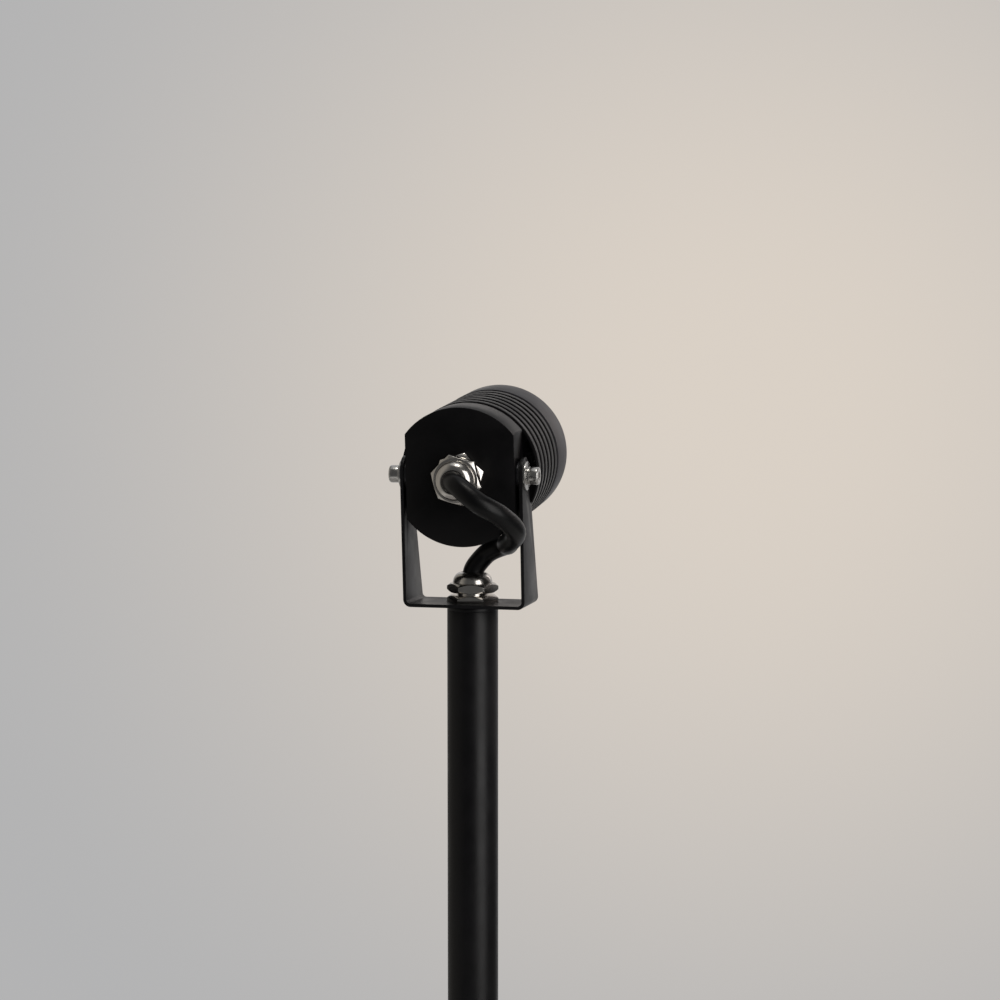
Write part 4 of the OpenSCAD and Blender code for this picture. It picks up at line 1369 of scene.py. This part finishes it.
class SpotlightFinishHidden(bpy.types.Operator):
    """Give every CAD node that is left its finish"""

    bl_idname = "spotlight.finish_hidden"
    bl_label = "Hidden pieces"
    bl_options = {"REGISTER", "UNDO"}

    looks = {
        "Nickel": ("gland_locknut",),
        "Steel inside": ("wave_washer", "spreader_screws", "board_screws"),
        "Nylon": ("lead_splice",),
        "Seal rubber": ("lower_gland_ring", "rear_gland_ring"),
        "Driver case": ("driver",),
        "Core insulation": ("driver_wires", "lamp_wires"),
        "Thermal pad": ("driver_pad", "board_pad"),
        "Raw aluminium": ("heat_spreader",),
        "Board mask": ("lamp_board",),
    }

    def execute(self, context):
        for look, nodes in self.looks.items():
            for node in nodes:
                paint(frame["nodes"][node], look)
        return {"FINISHED"}


class SpotlightSetStage(bpy.types.Operator):
    """Lay the floor, light the backdrop and set the lamps and the camera"""

    bl_idname = "spotlight.set_stage"
    bl_label = "Stage"
    bl_options = {"REGISTER", "UNDO"}

    camera_place = (0.2695, -1.0886, 0.6347)
    camera_turn = (90 - 4.23, 0, 13.22)
    camera_lens, camera_film = 82.8, 36
    lamp_target = (0, 0, 0.52)
    # Bearings of the screen's two ends, from -Y towards +X
    screen_bearings = (-138, 146)
    screen_outline = ((0.45, 0.003), (1.30, 0.003), (1.30, 1.5), (0.75, 2.3))
    glow_direction = (-0.1227, 0.9921, -0.0262)
    # Name, direction from -Y towards +X, height, distance, size, power and colour of each lamp
    lamps = (
        ("Key", 54, 0.70, 1.15, (0.80, 1.36), 8.4, (1.0, 0.98, 0.96)),
        ("Rim", 137, 1.05, 1.50, (0.60, 0.90), 6.0, (1.0, 0.89, 0.85)),
        ("Back", 178, 1.15, 1.70, (1.60, 0.40), 0.5, (1.0, 0.87, 0.82)),
        ("Top", 20, 1.90, 0.30, (0.35, 0.35), 3.0, (1.0, 0.96, 0.88)),
    )

    def execute(self, context):
        colours = context.scene.spotlight_colours
        self.floor(colours)
        self.backdrop(context, colours)
        for name, bearing, height, reach, size, power, tone in self.lamps:
            turn = math.radians(bearing)
            at = Vector((reach * math.sin(turn), -reach * math.cos(turn), height))
            deselect()
            bpy.ops.object.light_add(type="AREA", location=at)
            lamp = bpy.context.object
            lamp.name = name + " lamp"
            lamp.data.shape = "RECTANGLE"
            lamp.data.size, lamp.data.size_y = size
            lamp.data.energy = power
            lamp.data.color = tone
            facing = (at - Vector(self.lamp_target)).to_track_quat("Z", "Y")
            lamp.rotation_euler = facing.to_euler()
        self.reflection_screen()
        deselect()
        bpy.ops.object.camera_add(
            location=self.camera_place,
            rotation=[math.radians(a) for a in self.camera_turn],
        )
        camera = bpy.context.object
        camera.data.lens = self.camera_lens
        camera.data.sensor_width = self.camera_film
        camera.data.clip_start, camera.data.clip_end = 0.01, 50
        context.scene.camera = camera
        context.scene.view_settings.view_transform = "Standard"
        return {"FINISHED"}

    def floor(self, colours):
        """A round pale floor that fades into the backdrop at its rim."""
        deselect()
        bpy.ops.mesh.primitive_circle_add(vertices=128, radius=1.0, fill_type="NGON")
        floor = bpy.context.object
        floor.name = "studio_floor"
        material, tree, shader, vector = bare_material("Studio floor")
        fade = range_node(tree, from_centre(tree, vector), 0.35, 1.0, 1.0, 0.0)
        values = {"Base Color": colours.floor, "Roughness": 0.9, "Specular IOR Level": 0.1}
        wire(tree, shader, {**values, "Alpha": fade})
        floor.data.materials.append(material)

    def reflection_screen(self):
        """A curved screen round the camera's side that glows and shows only in reflections: a
        painted reflection in paint and bright metal, pale at its inner edge, dark further out and
        lighter on the left.
        """
        left, right = self.screen_bearings
        span = math.radians(right - left)
        screen = turned("painted_reflection_screen", self.screen_outline, 64, ring=False, angle=span)
        place(screen, Matrix.Rotation(math.radians(right - 90), 4, "Z"))
        screen.visible_camera = False
        screen.visible_diffuse = False
        screen.visible_shadow = False
        # The screen's glow is painted reflection: it is no lamp and lights nothing
        material, tree, shader, vector = bare_material("Painted reflection glow")
        dark = range_node(tree, from_centre(tree, vector), 0.45, 1.15)
        tone = mix_colours(tree, dark, (0.45, 0.44, 0.42), (0.07, 0.07, 0.07))
        left_glow = range_node(tree, split_up(tree, vector)[0], -1.15, -0.5, 1.0, 0.0)
        tone = mix_colours(tree, left_glow, tone, (0.28, 0.265, 0.24))
        plain = {"Base Color": (0.0, 0.0, 0.0), "Roughness": 1.0, "Specular IOR Level": 0.0}
        wire(tree, shader, {**plain, "Emission Color": tone, "Emission Strength": 1.0})
        screen.data.materials.append(material)

    def backdrop(self, context, colours):
        """A pale backdrop with a warm glow, and an even light for everything else."""
        world = context.scene.world or bpy.data.worlds.new("Studio")
        context.scene.world = world
        world.use_nodes = True
        tree = world.node_tree
        tree.nodes.clear()
        out = tree.nodes.new("ShaderNodeOutputWorld")
        path = tree.nodes.new("ShaderNodeLightPath").outputs
        where = tree.nodes.new("ShaderNodeTexCoord").outputs["Generated"]
        pair = {0: where, 1: self.glow_direction}
        glow = new_node(tree, "ShaderNodeVectorMath", pair, operation="DOT_PRODUCT")
        spread = math_node(tree, "MULTIPLY_ADD", glow.outputs["Value"], -2.0, 2.0)
        angle = math_node(tree, "SQRT", math_node(tree, "MAXIMUM", spread, 0.0))
        # Painted pool of warm light on the backdrop, which reflections show too
        warmth = range_node(tree, angle, 0.02, 0.385, 1.0, 0.0)
        tint = mix_colours(tree, warmth, colours.cool_wall, colours.painted_warm_glow)
        seen = new_node(tree, "ShaderNodeBackground", {"Color": tint})
        even = {"Color": (1.0, 0.99, 0.98), "Strength": 0.28}
        around = new_node(tree, "ShaderNodeBackground", even)
        through = math_node(tree, "ADD", path["Is Glossy Ray"], path["Is Transmission Ray"])
        clear = math_node(tree, "ADD", path["Is Camera Ray"], through, clamp=True)
        mixed = {0: clear, 1: around.outputs[0], 2: seen.outputs[0]}
        pick = new_node(tree, "ShaderNodeMixShader", mixed)
        tree.links.new(pick.outputs[0], out.inputs["Surface"])


SIZES = {
    "spotlight_stand": SpotlightStand,
    "spotlight_head": SpotlightHead,
    "spotlight_fittings": SpotlightFittings,
    "spotlight_colours": SpotlightColours,
}

PIECES = (
    SpotlightMakeFoot,
    SpotlightMakePole,
    SpotlightMakeBracket,
    SpotlightMakeGlands,
    SpotlightMakeHinge,
    SpotlightMakeHousing,
    SpotlightMakeFront,
    SpotlightMakeLamp,
    SpotlightMakeLead,
    SpotlightFinishHidden,
    SpotlightSetStage,
)


class SpotlightPanel(bpy.types.Panel):
    """Lists the sizes, the colours and a button for each piece"""

    bl_idname = "VIEW3D_PT_spotlight"
    bl_label = "Garden Spotlight"
    bl_space_type = "VIEW_3D"
    bl_region_type = "UI"
    bl_category = "Spotlight"

    def draw(self, context):
        for key in SIZES:
            group = getattr(context.scene, key)
            box = self.layout.box()
            box.label(text=key.removeprefix("spotlight_").capitalize())
            for name in group.bl_rna.properties.keys():
                if name not in {"rna_type", "name"}:
                    box.prop(group, name)
        column = self.layout.column(align=True)
        for piece in PIECES:
            column.operator(piece.bl_idname)


CLASSES = (*SIZES.values(), *PIECES, SpotlightPanel)


def register():
    for each in CLASSES:
        bpy.utils.register_class(each)
    for key, kind in SIZES.items():
        setattr(bpy.types.Scene, key, PointerProperty(type=kind))


def unregister():
    for key in SIZES:
        delattr(bpy.types.Scene, key)
    for each in reversed(CLASSES):
        bpy.utils.unregister_class(each)


def main():
    """Builds every piece in order."""
    register()
    bpy.ops.spotlight.make_foot()
    bpy.ops.spotlight.make_pole()
    bpy.ops.spotlight.make_bracket()
    bpy.ops.spotlight.make_glands()
    bpy.ops.spotlight.make_hinge()
    bpy.ops.spotlight.make_housing()
    bpy.ops.spotlight.make_front()
    bpy.ops.spotlight.make_lamp()
    bpy.ops.spotlight.make_lead()
    bpy.ops.spotlight.finish_hidden()
    bpy.ops.spotlight.set_stage()
    deselect()


if __name__ == "__main__":
    main()
